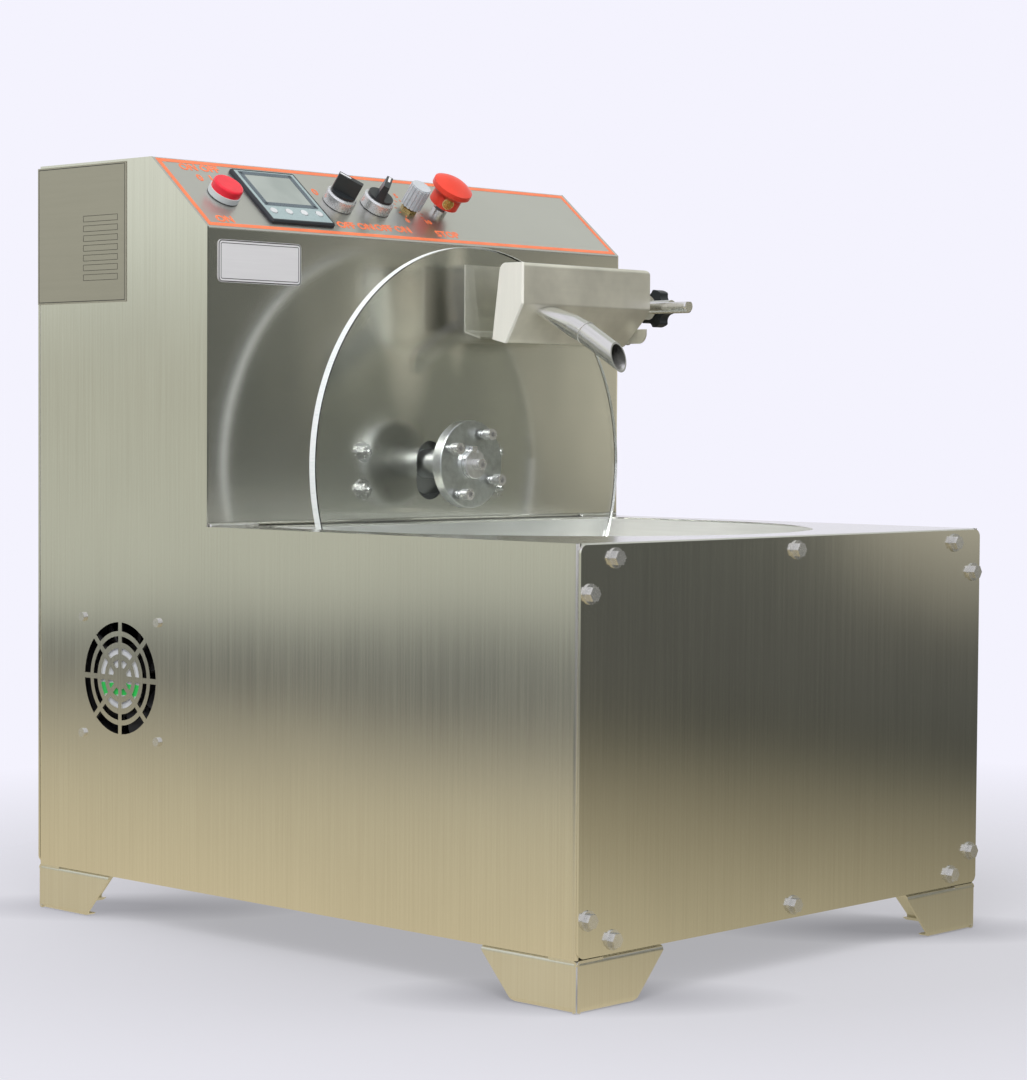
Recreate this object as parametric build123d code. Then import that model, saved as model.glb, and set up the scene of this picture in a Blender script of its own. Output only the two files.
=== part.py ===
from build123d import *
import math
import os

# Wheel tempering machine for chocolate: a bent-sheet cabinet with a heated tub, a clear wheel that
# lifts chocolate out of it, a scraper with a spout, and a sloped control panel.
# Millimetres. Origin on the floor under the cabinet's centre, +X right, -Y to the front, +Z up.

# Cabinet
CABINET_WIDTH = 500.0
CABINET_DEPTH = 630.0
CABINET_HEIGHT = 600.0
FOOT_HEIGHT = 38.0
HOUSING_DEPTH = 224.0
TOP_DEPTH = 153.0
PANEL_DROP = 60.0
SHEET = 1.5
BEND_RADIUS = 2.0
FLANGE = 22.0
FLANGE_GAP = 2.0
COVER_SHEET = 2.0
COVER_INSET = 1.0
COVER_CORNER = 6.0
HOUSING_FOOT = 20.0
DECK_TUCK = 25.0

# Feet
FOOT_SHEET = 2.0
FOOT_INSET = 1.0
FOOT_TOP_LENGTH = 95.0
FOOT_BOTTOM_LENGTH = 64.0
FOOT_FLANGE = 28.0
FOOT_LIP = 10.0
FOOT_CORNER = 8.0
FOOT_SEAM = 1.2
FOOT_STRIP = 4.0
FOOT_BOLT_ALONG = 55.0

# Fasteners
BOLT_DIAMETER = 6.0
BOLT_HEAD_FLATS = 10.0
BOLT_HEAD_HEIGHT = 4.0
BOLT_WASHER_DIAMETER = 15.0
BOLT_WASHER = 1.4
BOLT_LENGTH = 12.0
HOLE_CLEARANCE = 0.5
COVER_BOLT_EDGE = 11.0
COVER_BOLT_SIDE = 38.0
COVER_BOLT_DROP = 36.0
COVER_BOLT_LIFT = 28.0
REAR_BOLT_ROWS = 4

# Tub
TUB_SIDE_MARGIN = 35.0
TUB_FRONT_MARGIN = 40.0
TUB_REAR_MARGIN = 19.0
TUB_REAR_CORNER = 30.0
TUB_CORNER_SHARE = 0.9
TUB_FLOOR_RADIUS = 35.0
TUB_FLOOR_OVER_CORNER = 5.0
TUB_RIM = 12.0
TUB_WHEEL_GAP = 13.0
DECK_EDGE_RADIUS = 1.0
HEATER_INSET = 45.0
HEATER_CORNER = 10.0
HEATER_PAD = 3.0
PROBE_DIAMETER = 10.0
PROBE_LENGTH = 24.0
PROBE_GAP = 2.0
PROBE_FRONT_GAP = 90.0

# Wheel, hub and drive
WHEEL_DIAMETER = 370.0
WHEEL_THICKNESS = 8.0
WHEEL_AXIS_RISE = 50.0
WHEEL_STANDOFF = 50.5
WHEEL_EDGE = 0.6
HUB_DIAMETER = 75.0
HUB_THICKNESS = 10.0
HUB_SEAT_GAP = 0.3
HUB_SCREW_CIRCLE = 58.0
HUB_SCREW_COUNT = 4
HUB_SCREW_ANGLE = 62.0
HUB_SCREW_DIAMETER = 6.0
HUB_SCREW_HEAD = 10.0
HUB_SCREW_HEAD_HEIGHT = 8.0
SHAFT_DIAMETER = 25.0
SHAFT_PROUD = 1.0
SHAFT_TAIL = 6.0
KEY_WIDTH = 6.0
KEY_DEPTH = 3.0
KEY_HEIGHT = 6.0
END_SCREW_DIAMETER = 6.0
END_SCREW_HEAD = 10.0
END_SCREW_HEAD_HEIGHT = 8.0
END_SCREW_LENGTH = 16.0
SOCKET_SHARE = 0.8
RUNNING_CLEARANCE = 0.05
SLOT_WIDTH = 33.0
SLOT_HEIGHT = 51.0
SLOT_DROP = 6.0
BRACKET_PLATE = 5.0
BRACKET_WIDTH = 200.0
BRACKET_HEIGHT = 76.0
BRACKET_WINDOW = 54.0
BRACKET_BOLT_SPAN = 162.0
BRACKET_BOLT_RISE = 32.0
BRACKET_WASHER_DIAMETER = 18.0
BRACKET_WASHER = 1.6
BRACKET_NUT = 5.0
BRACKET_STUD_PROUD = 3.5
GEARBOX_LENGTH = 92.0
GEARBOX_WIDTH = 96.0
GEARBOX_BELOW = 45.0
GEARBOX_ABOVE = 88.0
GEARBOX_CORNER = 12.0
WORM_OFFSET = 50.0
WORM_BOSS = 70.0
WORM_BOSS_LENGTH = 118.0
MOTOR_DIAMETER = 84.0
MOTOR_LENGTH = 150.0
MOTOR_FLANGE = 8.0
MOTOR_FLANGE_DIAMETER = 88.0
MOTOR_CAP = 14.0

# Scraper, guide rod and clamp knob
SCRAPER_LENGTH = 167.0
SCRAPER_TOP_DROP = 13.0
SCRAPER_WALL = 35.0
SCRAPER_HEIGHT = 65.0
SCRAPER_DEPTH = 34.0
SCRAPER_LIP = 15.0
SCRAPER_LIP_RISE = 3.5
SCRAPER_TOP_FLANGE = 22.0
SCRAPER_WHEEL_GAP = 7.0
SCRAPER_REAR_DEPTH = 19.0
SCRAPER_REAR_LIP_RISE = 5.5
SCRAPER_REAR_HEIGHT = 58.5
SCRAPER_PLATE = 3.0
SCRAPER_PLATE_CORNER = 7.0
SCRAPER_END_CORNER = 5.0
SCRAPER_CUT_BACK = 14.0
WEB_INSET = 4.0
WEB_CORNER = 4.0
WEB_EAR_GAP = 0.5
WEB_EAR_CORNER = 9.0
SPOUT_DIAMETER = 19.0
SPOUT_WALL = 1.2
SPOUT_FROM_END = 39.0
SPOUT_ROOT_DROP = 37.0
SPOUT_ROOT_DEPTH = 12.5
SPOUT_ROOT_WIDTH = 36.0
SPOUT_ROOT_HEIGHT = 8.0
SPOUT_NECK_RUN = 41.0
SPOUT_FIRST_RUN = 56.0
SPOUT_FIRST_ANGLE = 23.7
SPOUT_SECOND_RUN = 42.6
SPOUT_SECOND_ANGLE = 30.0
SPOUT_CUT_ANGLE = 14.0
SPOUT_FIT = 0.05
ROD_DIAMETER = 12.0
ROD_SIDE_MARGIN = 56.0
ROD_BELOW_TOP = 32.0
ROD_BELOW_PANEL = 52.0
ROD_REACH = 133.0
ROD_FLAT_LENGTH = 20.0
ROD_FLAT_DEPTH = 2.0
ROD_END_CHAMFER = 1.0
ROD_NUT_FLATS = 19.0
ROD_NUT = 7.0
ROD_TAIL = 12.0
COLLAR_DIAMETER = 22.0
COLLAR_LENGTH = 23.0
COLLAR_FROM_RISER = 62.0
COLLAR_ARM = 16.0
KNOB_DIAMETER = 34.0
KNOB_LOBES = 5
KNOB_NOTCH_DIAMETER = 13.0
KNOB_NOTCH_REACH = 19.5
KNOB_THICKNESS = 12.0
KNOB_NECK_DIAMETER = 14.0
KNOB_NECK = 8.0
KNOB_STUD_DIAMETER = 6.0
KNOB_STUD_GAP = 0.3
KNOB_EDGE = 2.0

# Control panel: places from its left end and up its slope
CONTROL_LINE = 46.0
PILOT_FROM_LEFT = 45.0
PILOT_LINE = 44.0
CONTROLLER_FROM_LEFT = 111.0
SELECTORS_FROM_LEFT = (175.0, 219.0)
SELECTOR_ANGLE = (45.0, -45.0)
SPEED_FROM_LEFT = 260.0
ESTOP_FROM_LEFT = 297.0
PANEL_HOLE = 22.5
BARREL_DIAMETER = 22.0
BARREL_LENGTH = 38.0
PILOT_DIAMETER = 28.0
PILOT_BEZEL = 6.0
PILOT_LENS_DIAMETER = 26.5
PILOT_LENS = 7.0
PILOT_LENS_EDGE = 2.0
CONTROLLER_SIZE = 72.0
CONTROLLER_CORNER = 3.0
CONTROLLER_PROUD = 3.5
CONTROLLER_BODY = 67.5
CONTROLLER_BODY_DEPTH = 72.0
CONTROLLER_CUT = 68.0
SCREEN_WIDTH = 52.0
SCREEN_HEIGHT = 40.0
SCREEN_RISE = 9.0
SCREEN_DEPTH = 1.2
SCREEN_FIT = 0.1
BUTTON_COUNT = 4
BUTTON_PITCH = 17.0
BUTTON_DROP = 22.0
BUTTON_DIAMETER = 7.0
BUTTON_PROUD = 0.8
BUTTON_DEPTH = 1.8
BUTTON_WELL = 3.0
BUTTON_FIT = 0.3
SELECTOR_DIAMETER = 28.0
SELECTOR_BEZEL = 11.0
SELECTOR_EDGE = 1.5
SELECTOR_DISC_DIAMETER = 23.0
SELECTOR_DISC = 2.0
SELECTOR_BLADE_LENGTH = 23.0
SELECTOR_BLADE_WIDTH = 8.0
SELECTOR_BLADE_TOP = 5.5
SELECTOR_BLADE = 14.0
SELECTOR_STEM_DIAMETER = 8.0
SELECTOR_STEM = 18.0
SELECTOR_GAP = 0.3
POT_HOLE = 9.6
POT_BUSH_DIAMETER = 9.0
POT_NUT_FLATS = 13.0
POT_NUT = 3.0
POT_BUSH = 5.0
POT_BODY_DIAMETER = 24.0
POT_BODY = 16.0
POT_STEM_DIAMETER = 6.0
POT_STEM = 12.0
SPEED_KNOB_DIAMETER = 19.0
SPEED_KNOB = 20.0
SPEED_KNOB_RIBS = 16
SPEED_KNOB_GROOVE = 0.9
SPEED_KNOB_EDGE = 1.0
ESTOP_COLLAR_DIAMETER = 14.0
ESTOP_COLLAR = 5.0
ESTOP_BARREL_DIAMETER = 12.0
ESTOP_SKIRT_DIAMETER = 27.0
ESTOP_TRAVEL = 5.0
ESTOP_STOP_GAP = 0.5
ESTOP_SKIRT_TOP = 25.5
ESTOP_HEAD_DIAMETER = 37.0
ESTOP_HEAD_EDGE = 4.5
ESTOP_DOME = 5.5
ESTOP_STEM_DIAMETER = 9.0
ESTOP_STEM_BELOW = 20.0
ESTOP_STEM_TOP = 20.0

# Fan
FAN_FROM_BACK = 113.0
FAN_RISE = 168.0
FAN_SIZE = 114.0
FAN_CORNER = 6.0
FAN_DEPTH = 25.4
FAN_DUCT = 106.0
FAN_SCREW_SPAN = 98.5
FAN_SCREW_DIAMETER = 4.0
FAN_SCREW_HEAD = 7.5
FAN_SCREW_HEAD_HEIGHT = 2.2
FAN_SCREW_LENGTH = 14.0
GRILLE_DIAMETER = 94.0
GRILLE_SPOKES = 8
GRILLE_SPOKE = 4.5
GRILLE_RINGS = ((0.84, 1.0), (0.64, 0.75), (0.43, 0.54), (0.20, 0.33))
FAN_HUB_DIAMETER = 56.0
FAN_HUB_PLATE = 3.0
FAN_STRUT = 5.0
FAN_STRUTS = 4
FAN_ROTOR_GAP = 1.0
FAN_ROTOR = 17.0
FAN_BLADES = 7
FAN_BLADE_CHORD = 20.0
FAN_BLADE = 1.6
FAN_BLADE_ROOT_PITCH = 50.0
FAN_BLADE_TIP_PITCH = 62.0
FAN_TIP_GAP = 1.2
FAN_PIN_DIAMETER = 4.0

# Electrics on the base plate and the mains entry
DRIVE_LENGTH = 130.0
DRIVE_WIDTH = 90.0
DRIVE_HEIGHT = 48.0
DRIVE_FINS = 7
DRIVE_FIN = 14.0
DRIVE_FIN_WIDTH = 4.0
DRIVE_X = -90.0
RELAY_X = 70.0
RELAY_WIDTH = 46.0
RELAY_LENGTH = 60.0
RELAY_HEIGHT = 28.0
ELECTRICS_FROM_BACK = 110.0
GLAND_FROM_RIGHT = 70.0
GLAND_RISE = 40.0
GLAND_THREAD = 16.0
GLAND_FLATS = 20.0
GLAND_BODY = 5.0
GLAND_CAP = 7.0
GLAND_BORE = 9.0
GLAND_NUT = 4.0

# Places that follow from the sizes above
half_width = CABINET_WIDTH / 2
inner_x = half_width - SHEET
front_y = -CABINET_DEPTH / 2
back_y = CABINET_DEPTH / 2
cover_front_y = front_y + COVER_SHEET
cover_back_y = back_y - COVER_SHEET
base_z = FOOT_HEIGHT
top_z = base_z + CABINET_HEIGHT
riser_y = back_y - HOUSING_DEPTH
panel_top_y = back_y - TOP_DEPTH
panel_low_z = top_z - PANEL_DROP
corner_notch = SHEET + BEND_RADIUS + HOLE_CLEARANCE
bolt_hole = BOLT_DIAMETER + HOLE_CLEARANCE

wheel_radius = WHEEL_DIAMETER / 2
rod_z = panel_low_z - ROD_BELOW_PANEL
scraper_top_z = rod_z + ROD_BELOW_TOP
axis_z = scraper_top_z + SCRAPER_TOP_DROP - wheel_radius
deck_z = axis_z - WHEEL_AXIS_RISE
wheel_back_y = riser_y - WHEEL_STANDOFF
wheel_front_y = wheel_back_y - WHEEL_THICKNESS
hub_front_y = wheel_back_y + HUB_SEAT_GAP
hub_back_y = hub_front_y + HUB_THICKNESS
riser_back_y = riser_y + SHEET
bracket_back_y = riser_back_y + BRACKET_PLATE
gearbox_back_y = bracket_back_y + GEARBOX_LENGTH
slot_z = axis_z - SLOT_DROP

tub_half_width = half_width - TUB_SIDE_MARGIN
tub_front_y = front_y + TUB_FRONT_MARGIN
tub_arc_y = tub_front_y + tub_half_width
tub_rear_y = riser_y - TUB_REAR_MARGIN
tub_rim_z = deck_z - SHEET
tub_floor_z = axis_z - wheel_radius - TUB_WHEEL_GAP
tub_rear_corner = min(TUB_REAR_CORNER, TUB_CORNER_SHARE * (tub_rear_y - tub_arc_y))
tub_floor_radius = min(TUB_FLOOR_RADIUS, tub_rear_corner + TUB_FLOOR_OVER_CORNER)

rod_x = half_width - ROD_SIDE_MARGIN
rod_front_y = riser_y - ROD_REACH
collar_y = riser_y - COLLAR_FROM_RISER - COLLAR_LENGTH / 2
collar_radius = COLLAR_DIAMETER / 2
scraper_right_x = rod_x - collar_radius - SCRAPER_PLATE
scraper_left_x = scraper_right_x - SCRAPER_LENGTH
web_x = scraper_right_x - WEB_INSET
tray_lip_y = wheel_front_y - SCRAPER_WHEEL_GAP
tray_lip_z = scraper_top_z - SCRAPER_HEIGHT
tray_front_y = tray_lip_y - SCRAPER_DEPTH
knee_z = scraper_top_z - SCRAPER_WALL
rear_lip_y = wheel_back_y + SCRAPER_WHEEL_GAP
rear_wall_y = rear_lip_y + SCRAPER_REAR_DEPTH
rear_low_z = scraper_top_z - SCRAPER_REAR_HEIGHT

fan_y = back_y - FAN_FROM_BACK
fan_z = base_z + FAN_RISE
electrics_y = back_y - ELECTRICS_FROM_BACK
gland_x = half_width - GLAND_FROM_RIGHT
cover_bolt_x = half_width - COVER_BOLT_SIDE
pilot_x = PILOT_FROM_LEFT - half_width
controller_x = CONTROLLER_FROM_LEFT - half_width
selector_places = [distance - half_width for distance in SELECTORS_FROM_LEFT]
speed_x = SPEED_FROM_LEFT - half_width
estop_x = ESTOP_FROM_LEFT - half_width
base_floor_z = base_z + SHEET

# The sloped panel's frame: local X across, local Y up the slope, local Z out of the panel
panel = Plane(
    origin=(0, riser_y, panel_low_z),
    x_dir=(1, 0, 0),
    z_dir=(0, -PANEL_DROP, panel_top_y - riser_y),
)
fan_frame_plane = Plane(origin=(-inner_x, fan_y, fan_z), x_dir=(0, 1, 0), z_dir=(1, 0, 0))


def span_box(x0, x1, y0, y1, z0, z1):
    """Box between two corners."""
    return Pos((x0 + x1) / 2, (y0 + y1) / 2, (z0 + z1) / 2) * Box(x1 - x0, y1 - y0, z1 - z0)


def rod_between(radius, z0, z1):
    """Cylinder on the local Z axis."""
    return Pos(0, 0, (z0 + z1) / 2) * Cylinder(radius, z1 - z0)


def along_y(x, z, radius, y0, y1):
    """Cylinder parallel to Y."""
    return Pos(x, (y0 + y1) / 2, z) * Rot(90, 0, 0) * Cylinder(radius, y1 - y0)


def along_x(y, z, radius, x0, x1):
    """Cylinder parallel to X."""
    return Pos((x0 + x1) / 2, y, z) * Rot(0, 90, 0) * Cylinder(radius, x1 - x0)


def hexagon(flats, height):
    """Hexagonal prism standing on the local XY plane."""
    return extrude(RegularPolygon(flats / 2, 6, major_radius=False), height)


def prism_x(points, x0, x1):
    """Polygon given in (y, z), drawn out along X."""
    face = Plane.YZ.offset(x0) * make_face(Polyline(*points, close=True))
    return extrude(face, x1 - x0)


def prism_y(face, y0, y1):
    """Face drawn in (x, z), drawn out along Y."""
    back = Plane(origin=(0, y1, 0), x_dir=(1, 0, 0), z_dir=(0, -1, 0))
    return extrude(back * face, y1 - y0)


def offset_points(points, distance):
    """Corners of the parallel line on the left of an open line."""
    normals = []
    for (ax, ay), (bx, by) in zip(points, points[1:]):
        length = math.hypot(bx - ax, by - ay)
        normals.append((-(by - ay) / length, (bx - ax) / length))
    moved = []
    for i, (px, py) in enumerate(points):
        before = normals[max(i - 1, 0)]
        after = normals[min(i, len(normals) - 1)]
        reach = distance / (1 + before[0] * after[0] + before[1] * after[1])
        moved.append((px + (before[0] + after[0]) * reach, py + (before[1] + after[1]) * reach))
    return moved


def sheet_section(points, thickness):
    """Section of a bent sheet: its outer line, with the metal on the left and all bends to the left."""
    inner = offset_points(points, thickness)
    face = make_face(Polyline(*points, *reversed(inner), close=True))
    for line, radius in ((points, BEND_RADIUS + thickness), (inner, BEND_RADIUS)):
        bends = [face.vertices().sort_by_distance((x, y, 0))[0] for x, y in line[1:-1]]
        face = fillet(bends, radius)
    return face


def sheet_along_x(points, thickness, x0, x1):
    """Bent sheet whose section is given in (y, z)."""
    return extrude(Plane.YZ.offset(x0) * sheet_section(points, thickness), x1 - x0)


def hex_bolt(length):
    """Bolt with its washer, seated on the local XY plane with the shank below."""
    washer = rod_between(BOLT_WASHER_DIAMETER / 2, 0, BOLT_WASHER)
    head = Pos(0, 0, BOLT_WASHER) * hexagon(BOLT_HEAD_FLATS, BOLT_HEAD_HEIGHT)
    shank = rod_between(BOLT_DIAMETER / 2, -length, 0)
    return washer + head + shank


def mirrored(shape):
    """The shape's twin on the other side of the cabinet."""
    return mirror(shape, about=Plane.YZ)


# Cabinet sheets


def fan_screw_places():
    """Screw centres in the fan's own plane."""
    reach = FAN_SCREW_SPAN / 2
    return [(u, v) for u in (-reach, reach) for v in (-reach, reach)]


def grille_cut():
    """Ring-shaped slots between spokes, and the fan's screw holes."""
    radius = GRILLE_DIAMETER / 2
    slots = Sketch()
    for low, high in GRILLE_RINGS:
        slots += Circle(radius * high) - Circle(radius * low)
    for i in range(GRILLE_SPOKES // 2):
        slots -= Rot(0, 0, 360 / GRILLE_SPOKES * i) * Rectangle(GRILLE_DIAMETER, GRILLE_SPOKE)
    for u, v in fan_screw_places():
        slots += Pos(u, v) * Circle((FAN_SCREW_DIAMETER + HOLE_CLEARANCE) / 2)
    return extrude(fan_frame_plane * slots, -2 * SHEET)


def side_panel():
    """Left side panel: an L-shaped sheet with folded front and rear edges."""
    path = [
        (-half_width + FLANGE, cover_back_y),
        (-half_width, cover_back_y),
        (-half_width, cover_front_y),
        (-half_width + FLANGE, cover_front_y),
    ]
    sheet = extrude(Pos(0, 0, base_z) * sheet_section(path, SHEET), CABINET_HEIGHT)
    outside = [
        (front_y, deck_z),
        (riser_y, deck_z),
        (riser_y, panel_low_z),
        (panel_top_y, top_z),
        (panel_top_y, top_z + FLANGE),
        (front_y, top_z + FLANGE),
    ]
    sheet -= prism_x(outside, -half_width - FLANGE, -half_width + 2 * FLANGE)
    bend_x = -half_width + SHEET + BEND_RADIUS
    for low_z, high_z, low_y, high_y in (
        (deck_z - corner_notch, top_z, front_y, front_y + FLANGE),
        (top_z - corner_notch, top_z, back_y - FLANGE, back_y),
        (base_z, base_z + corner_notch, front_y, back_y),
    ):
        sheet -= span_box(bend_x, -half_width + 2 * FLANGE, low_y, high_y, low_z, high_z)
    for x, z in cover_bolt_places():
        sheet -= along_y(x, z, bolt_hole / 2, front_y, front_y + FLANGE)
    for x, z in rear_bolt_places():
        sheet -= along_y(x, z, bolt_hole / 2, back_y - FLANGE, back_y)
    return sheet


def flange_trim(low_z, high_z):
    """Cuts the ends of a cross sheet's folded edges clear of the side panels' own."""
    clear_x = half_width - FLANGE - FLANGE_GAP
    return [
        span_box(x0, x1, y0, y1, low_z, high_z)
        for x0, x1 in ((-half_width, -clear_x), (clear_x, half_width))
        for y0, y1 in ((front_y, cover_front_y + corner_notch), (cover_back_y - corner_notch, back_y))
    ]


def corner_trim(low_z, high_z):
    """Cuts a cross sheet's corners clear of the side panels' bends."""
    clear_x = half_width - corner_notch
    return [
        span_box(x0, x1, y0, y1, low_z, high_z)
        for x0, x1 in ((-half_width, -clear_x), (clear_x, half_width))
        for y0, y1 in ((front_y, cover_front_y + corner_notch), (cover_back_y - corner_notch, back_y))
    ]


def cut_all(shape, tools):
    """Takes each tool away from the shape."""
    for tool in tools:
        shape -= tool
    return shape


def cover_bolt_places():
    """(x, z) of the front cover's bolts."""
    edge_x = half_width - COVER_BOLT_EDGE
    rows = (deck_z - COVER_BOLT_EDGE, base_z + COVER_BOLT_EDGE)
    places = [(x, z) for x in (-cover_bolt_x, 0, cover_bolt_x) for z in rows]
    sides = (deck_z - COVER_BOLT_DROP, base_z + COVER_BOLT_LIFT)
    return places + [(x, z) for x in (-edge_x, edge_x) for z in sides]


def rear_bolt_places():
    """(x, z) of the rear cover's bolts."""
    edge_x = half_width - COVER_BOLT_EDGE
    rows = (top_z - COVER_BOLT_EDGE, base_z + COVER_BOLT_EDGE)
    places = [(x, z) for x in (-cover_bolt_x, 0, cover_bolt_x) for z in rows]
    low = base_z + COVER_BOLT_LIFT
    step = (top_z - COVER_BOLT_DROP - low) / (REAR_BOLT_ROWS - 1)
    return places + [(x, low + i * step) for x in (-edge_x, edge_x) for i in range(REAR_BOLT_ROWS)]


def tub_outline(grow, corner):
    """Tub opening seen from above, larger by grow all round, with rounded rear corners."""
    half = tub_half_width + grow
    rear = tub_rear_y + grow
    outline = Pos(0, tub_arc_y) * Circle(half)
    outline += Pos(0, tub_arc_y + CABINET_DEPTH / 2) * Rectangle(2 * half, CABINET_DEPTH)
    outline -= Pos(0, rear + CABINET_DEPTH) * Rectangle(4 * half, 2 * CABINET_DEPTH)
    corners = outline.vertices().group_by(Axis.Y)[-1]
    return fillet(corners, corner)


def deck_plate():
    """Deck with the tub opening, a folded front edge and turned-down sides."""
    rear = riser_y + DECK_TUCK
    path = [(rear, deck_z), (cover_front_y, deck_z), (cover_front_y, deck_z - FLANGE)]
    deck = sheet_along_x(path, SHEET, -inner_x, inner_x)
    deck = cut_all(deck, flange_trim(deck_z - FLANGE, deck_z - SHEET))
    deck = cut_all(deck, corner_trim(deck_z - FLANGE, deck_z))
    for x0, x1 in ((-inner_x, -inner_x + SHEET), (inner_x - SHEET, inner_x)):
        deck += span_box(x0, x1, front_y + FLANGE, rear, deck_z - FLANGE, deck_z - SHEET)
    deck -= extrude(Pos(0, 0, deck_z - FLANGE) * tub_outline(0, tub_rear_corner), FLANGE)
    for x, z in cover_bolt_places():
        deck -= along_y(x, z, bolt_hole / 2, front_y, front_y + FLANGE)
    mouth = [
        edge
        for edge in deck.edges().group_by(Axis.Z)[-1]
        if edge.center().Y > front_y + DECK_TUCK
        and edge.center().Y < tub_rear_y + DECK_EDGE_RADIUS
        and abs(edge.center().X) < tub_half_width + DECK_EDGE_RADIUS
    ]
    return fillet(mouth, DECK_EDGE_RADIUS)


def base_plate():
    """Floor tray of the cabinet with folded edges."""
    path = [
        (cover_front_y, base_z + FLANGE),
        (cover_front_y, base_z),
        (cover_back_y, base_z),
        (cover_back_y, base_z + FLANGE),
    ]
    base = sheet_along_x(path, SHEET, -inner_x, inner_x)
    base = cut_all(base, flange_trim(base_z + SHEET, base_z + FLANGE))
    base = cut_all(base, corner_trim(base_z, base_z + FLANGE))
    for x0, x1 in ((-inner_x, -inner_x + SHEET), (inner_x - SHEET, inner_x)):
        base += span_box(x0, x1, front_y + FLANGE, back_y - FLANGE, base_z + SHEET, base_z + FLANGE)
    for x, z in cover_bolt_places():
        base -= along_y(x, z, bolt_hole / 2, front_y, front_y + FLANGE)
    for x, z in rear_bolt_places():
        base -= along_y(x, z, bolt_hole / 2, back_y - FLANGE, back_y)
    for x, y in foot_bolt_places():
        base -= Pos(x, y, base_z) * Cylinder(bolt_hole / 2, 4 * SHEET)
    return base


def control_housing():
    """Riser, sloped panel and top in one bent sheet, with the openings for shaft and controls."""
    path = [
        (cover_back_y, top_z - FLANGE),
        (cover_back_y, top_z),
        (panel_top_y, top_z),
        (riser_y, panel_low_z),
        (riser_y, deck_z),
        (riser_y + HOUSING_FOOT, deck_z),
    ]
    sheet = sheet_along_x(path, SHEET, -inner_x, inner_x)
    sheet = cut_all(sheet, flange_trim(top_z - FLANGE, top_z - SHEET))
    sheet = cut_all(sheet, corner_trim(top_z - FLANGE, top_z))
    slot = Pos(0, slot_z) * Rot(0, 0, 90) * SlotOverall(SLOT_HEIGHT, SLOT_WIDTH)
    sheet -= prism_y(slot, riser_y - SHEET, riser_y + 2 * SHEET)
    for x, z in bracket_bolt_places():
        sheet -= along_y(x, z, bolt_hole / 2, riser_y - SHEET, riser_y + 2 * SHEET)
    sheet -= along_y(rod_x, rod_z, (ROD_DIAMETER + HOLE_CLEARANCE) / 2, riser_y - SHEET, riser_y + 2 * SHEET)
    holes = Pos(pilot_x, PILOT_LINE) * Circle(PANEL_HOLE / 2)
    for x in selector_places:
        holes += Pos(x, CONTROL_LINE) * Circle(PANEL_HOLE / 2)
    holes += Pos(estop_x, CONTROL_LINE) * Circle((ESTOP_BARREL_DIAMETER + HOLE_CLEARANCE) / 2)
    holes += Pos(speed_x, CONTROL_LINE) * Circle(POT_HOLE / 2)
    holes += Pos(controller_x, CONTROL_LINE) * Rectangle(CONTROLLER_CUT, CONTROLLER_CUT)
    sheet -= extrude(panel * Pos(0, 0, SHEET) * holes, -3 * SHEET)
    for x, z in rear_bolt_places():
        sheet -= along_y(x, z, bolt_hole / 2, back_y - FLANGE, back_y)
    return sheet


def cover(height, places, y0, y1):
    """Flat cover plate with rounded corners and bolt holes."""
    width = CABINET_WIDTH - 2 * COVER_INSET
    tall = height - 2 * COVER_INSET
    face = Pos(0, base_z + height / 2) * RectangleRounded(width, tall, COVER_CORNER)
    plate = prism_y(face, y0, y1)
    for x, z in places:
        plate -= along_y(x, z, bolt_hole / 2, y0 - COVER_SHEET, y1 + COVER_SHEET)
    return plate


def rear_cover():
    """Rear cover with the hole of the mains entry."""
    plate = cover(CABINET_HEIGHT, rear_bolt_places(), cover_back_y, back_y)
    hole = (GLAND_THREAD + HOLE_CLEARANCE) / 2
    return plate - along_y(gland_x, base_z + GLAND_RISE, hole, back_y - FLANGE, back_y + FLANGE)


def bolts_on(places, y, direction):
    """Group of bolts seated on a plane across Y."""
    seats = [Plane(origin=(x, y, z), x_dir=(1, 0, 0), z_dir=(0, direction, 0)) for x, z in places]
    return Compound(children=[seat * hex_bolt(BOLT_LENGTH) for seat in seats])


# Feet


def foot_bolt_places():
    """(x, y) of the bolts through the feet's top flanges."""
    corner_x = half_width - FOOT_INSET
    corner_y = back_y - FOOT_INSET
    middle = FOOT_FLANGE / 2
    places = []
    for sx in (-1, 1):
        for sy in (-1, 1):
            for along, across in ((FOOT_BOLT_ALONG, middle), (middle, FOOT_BOLT_ALONG)):
                places.append((sx * (corner_x - along), sy * (corner_y - across)))
    return places


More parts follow.
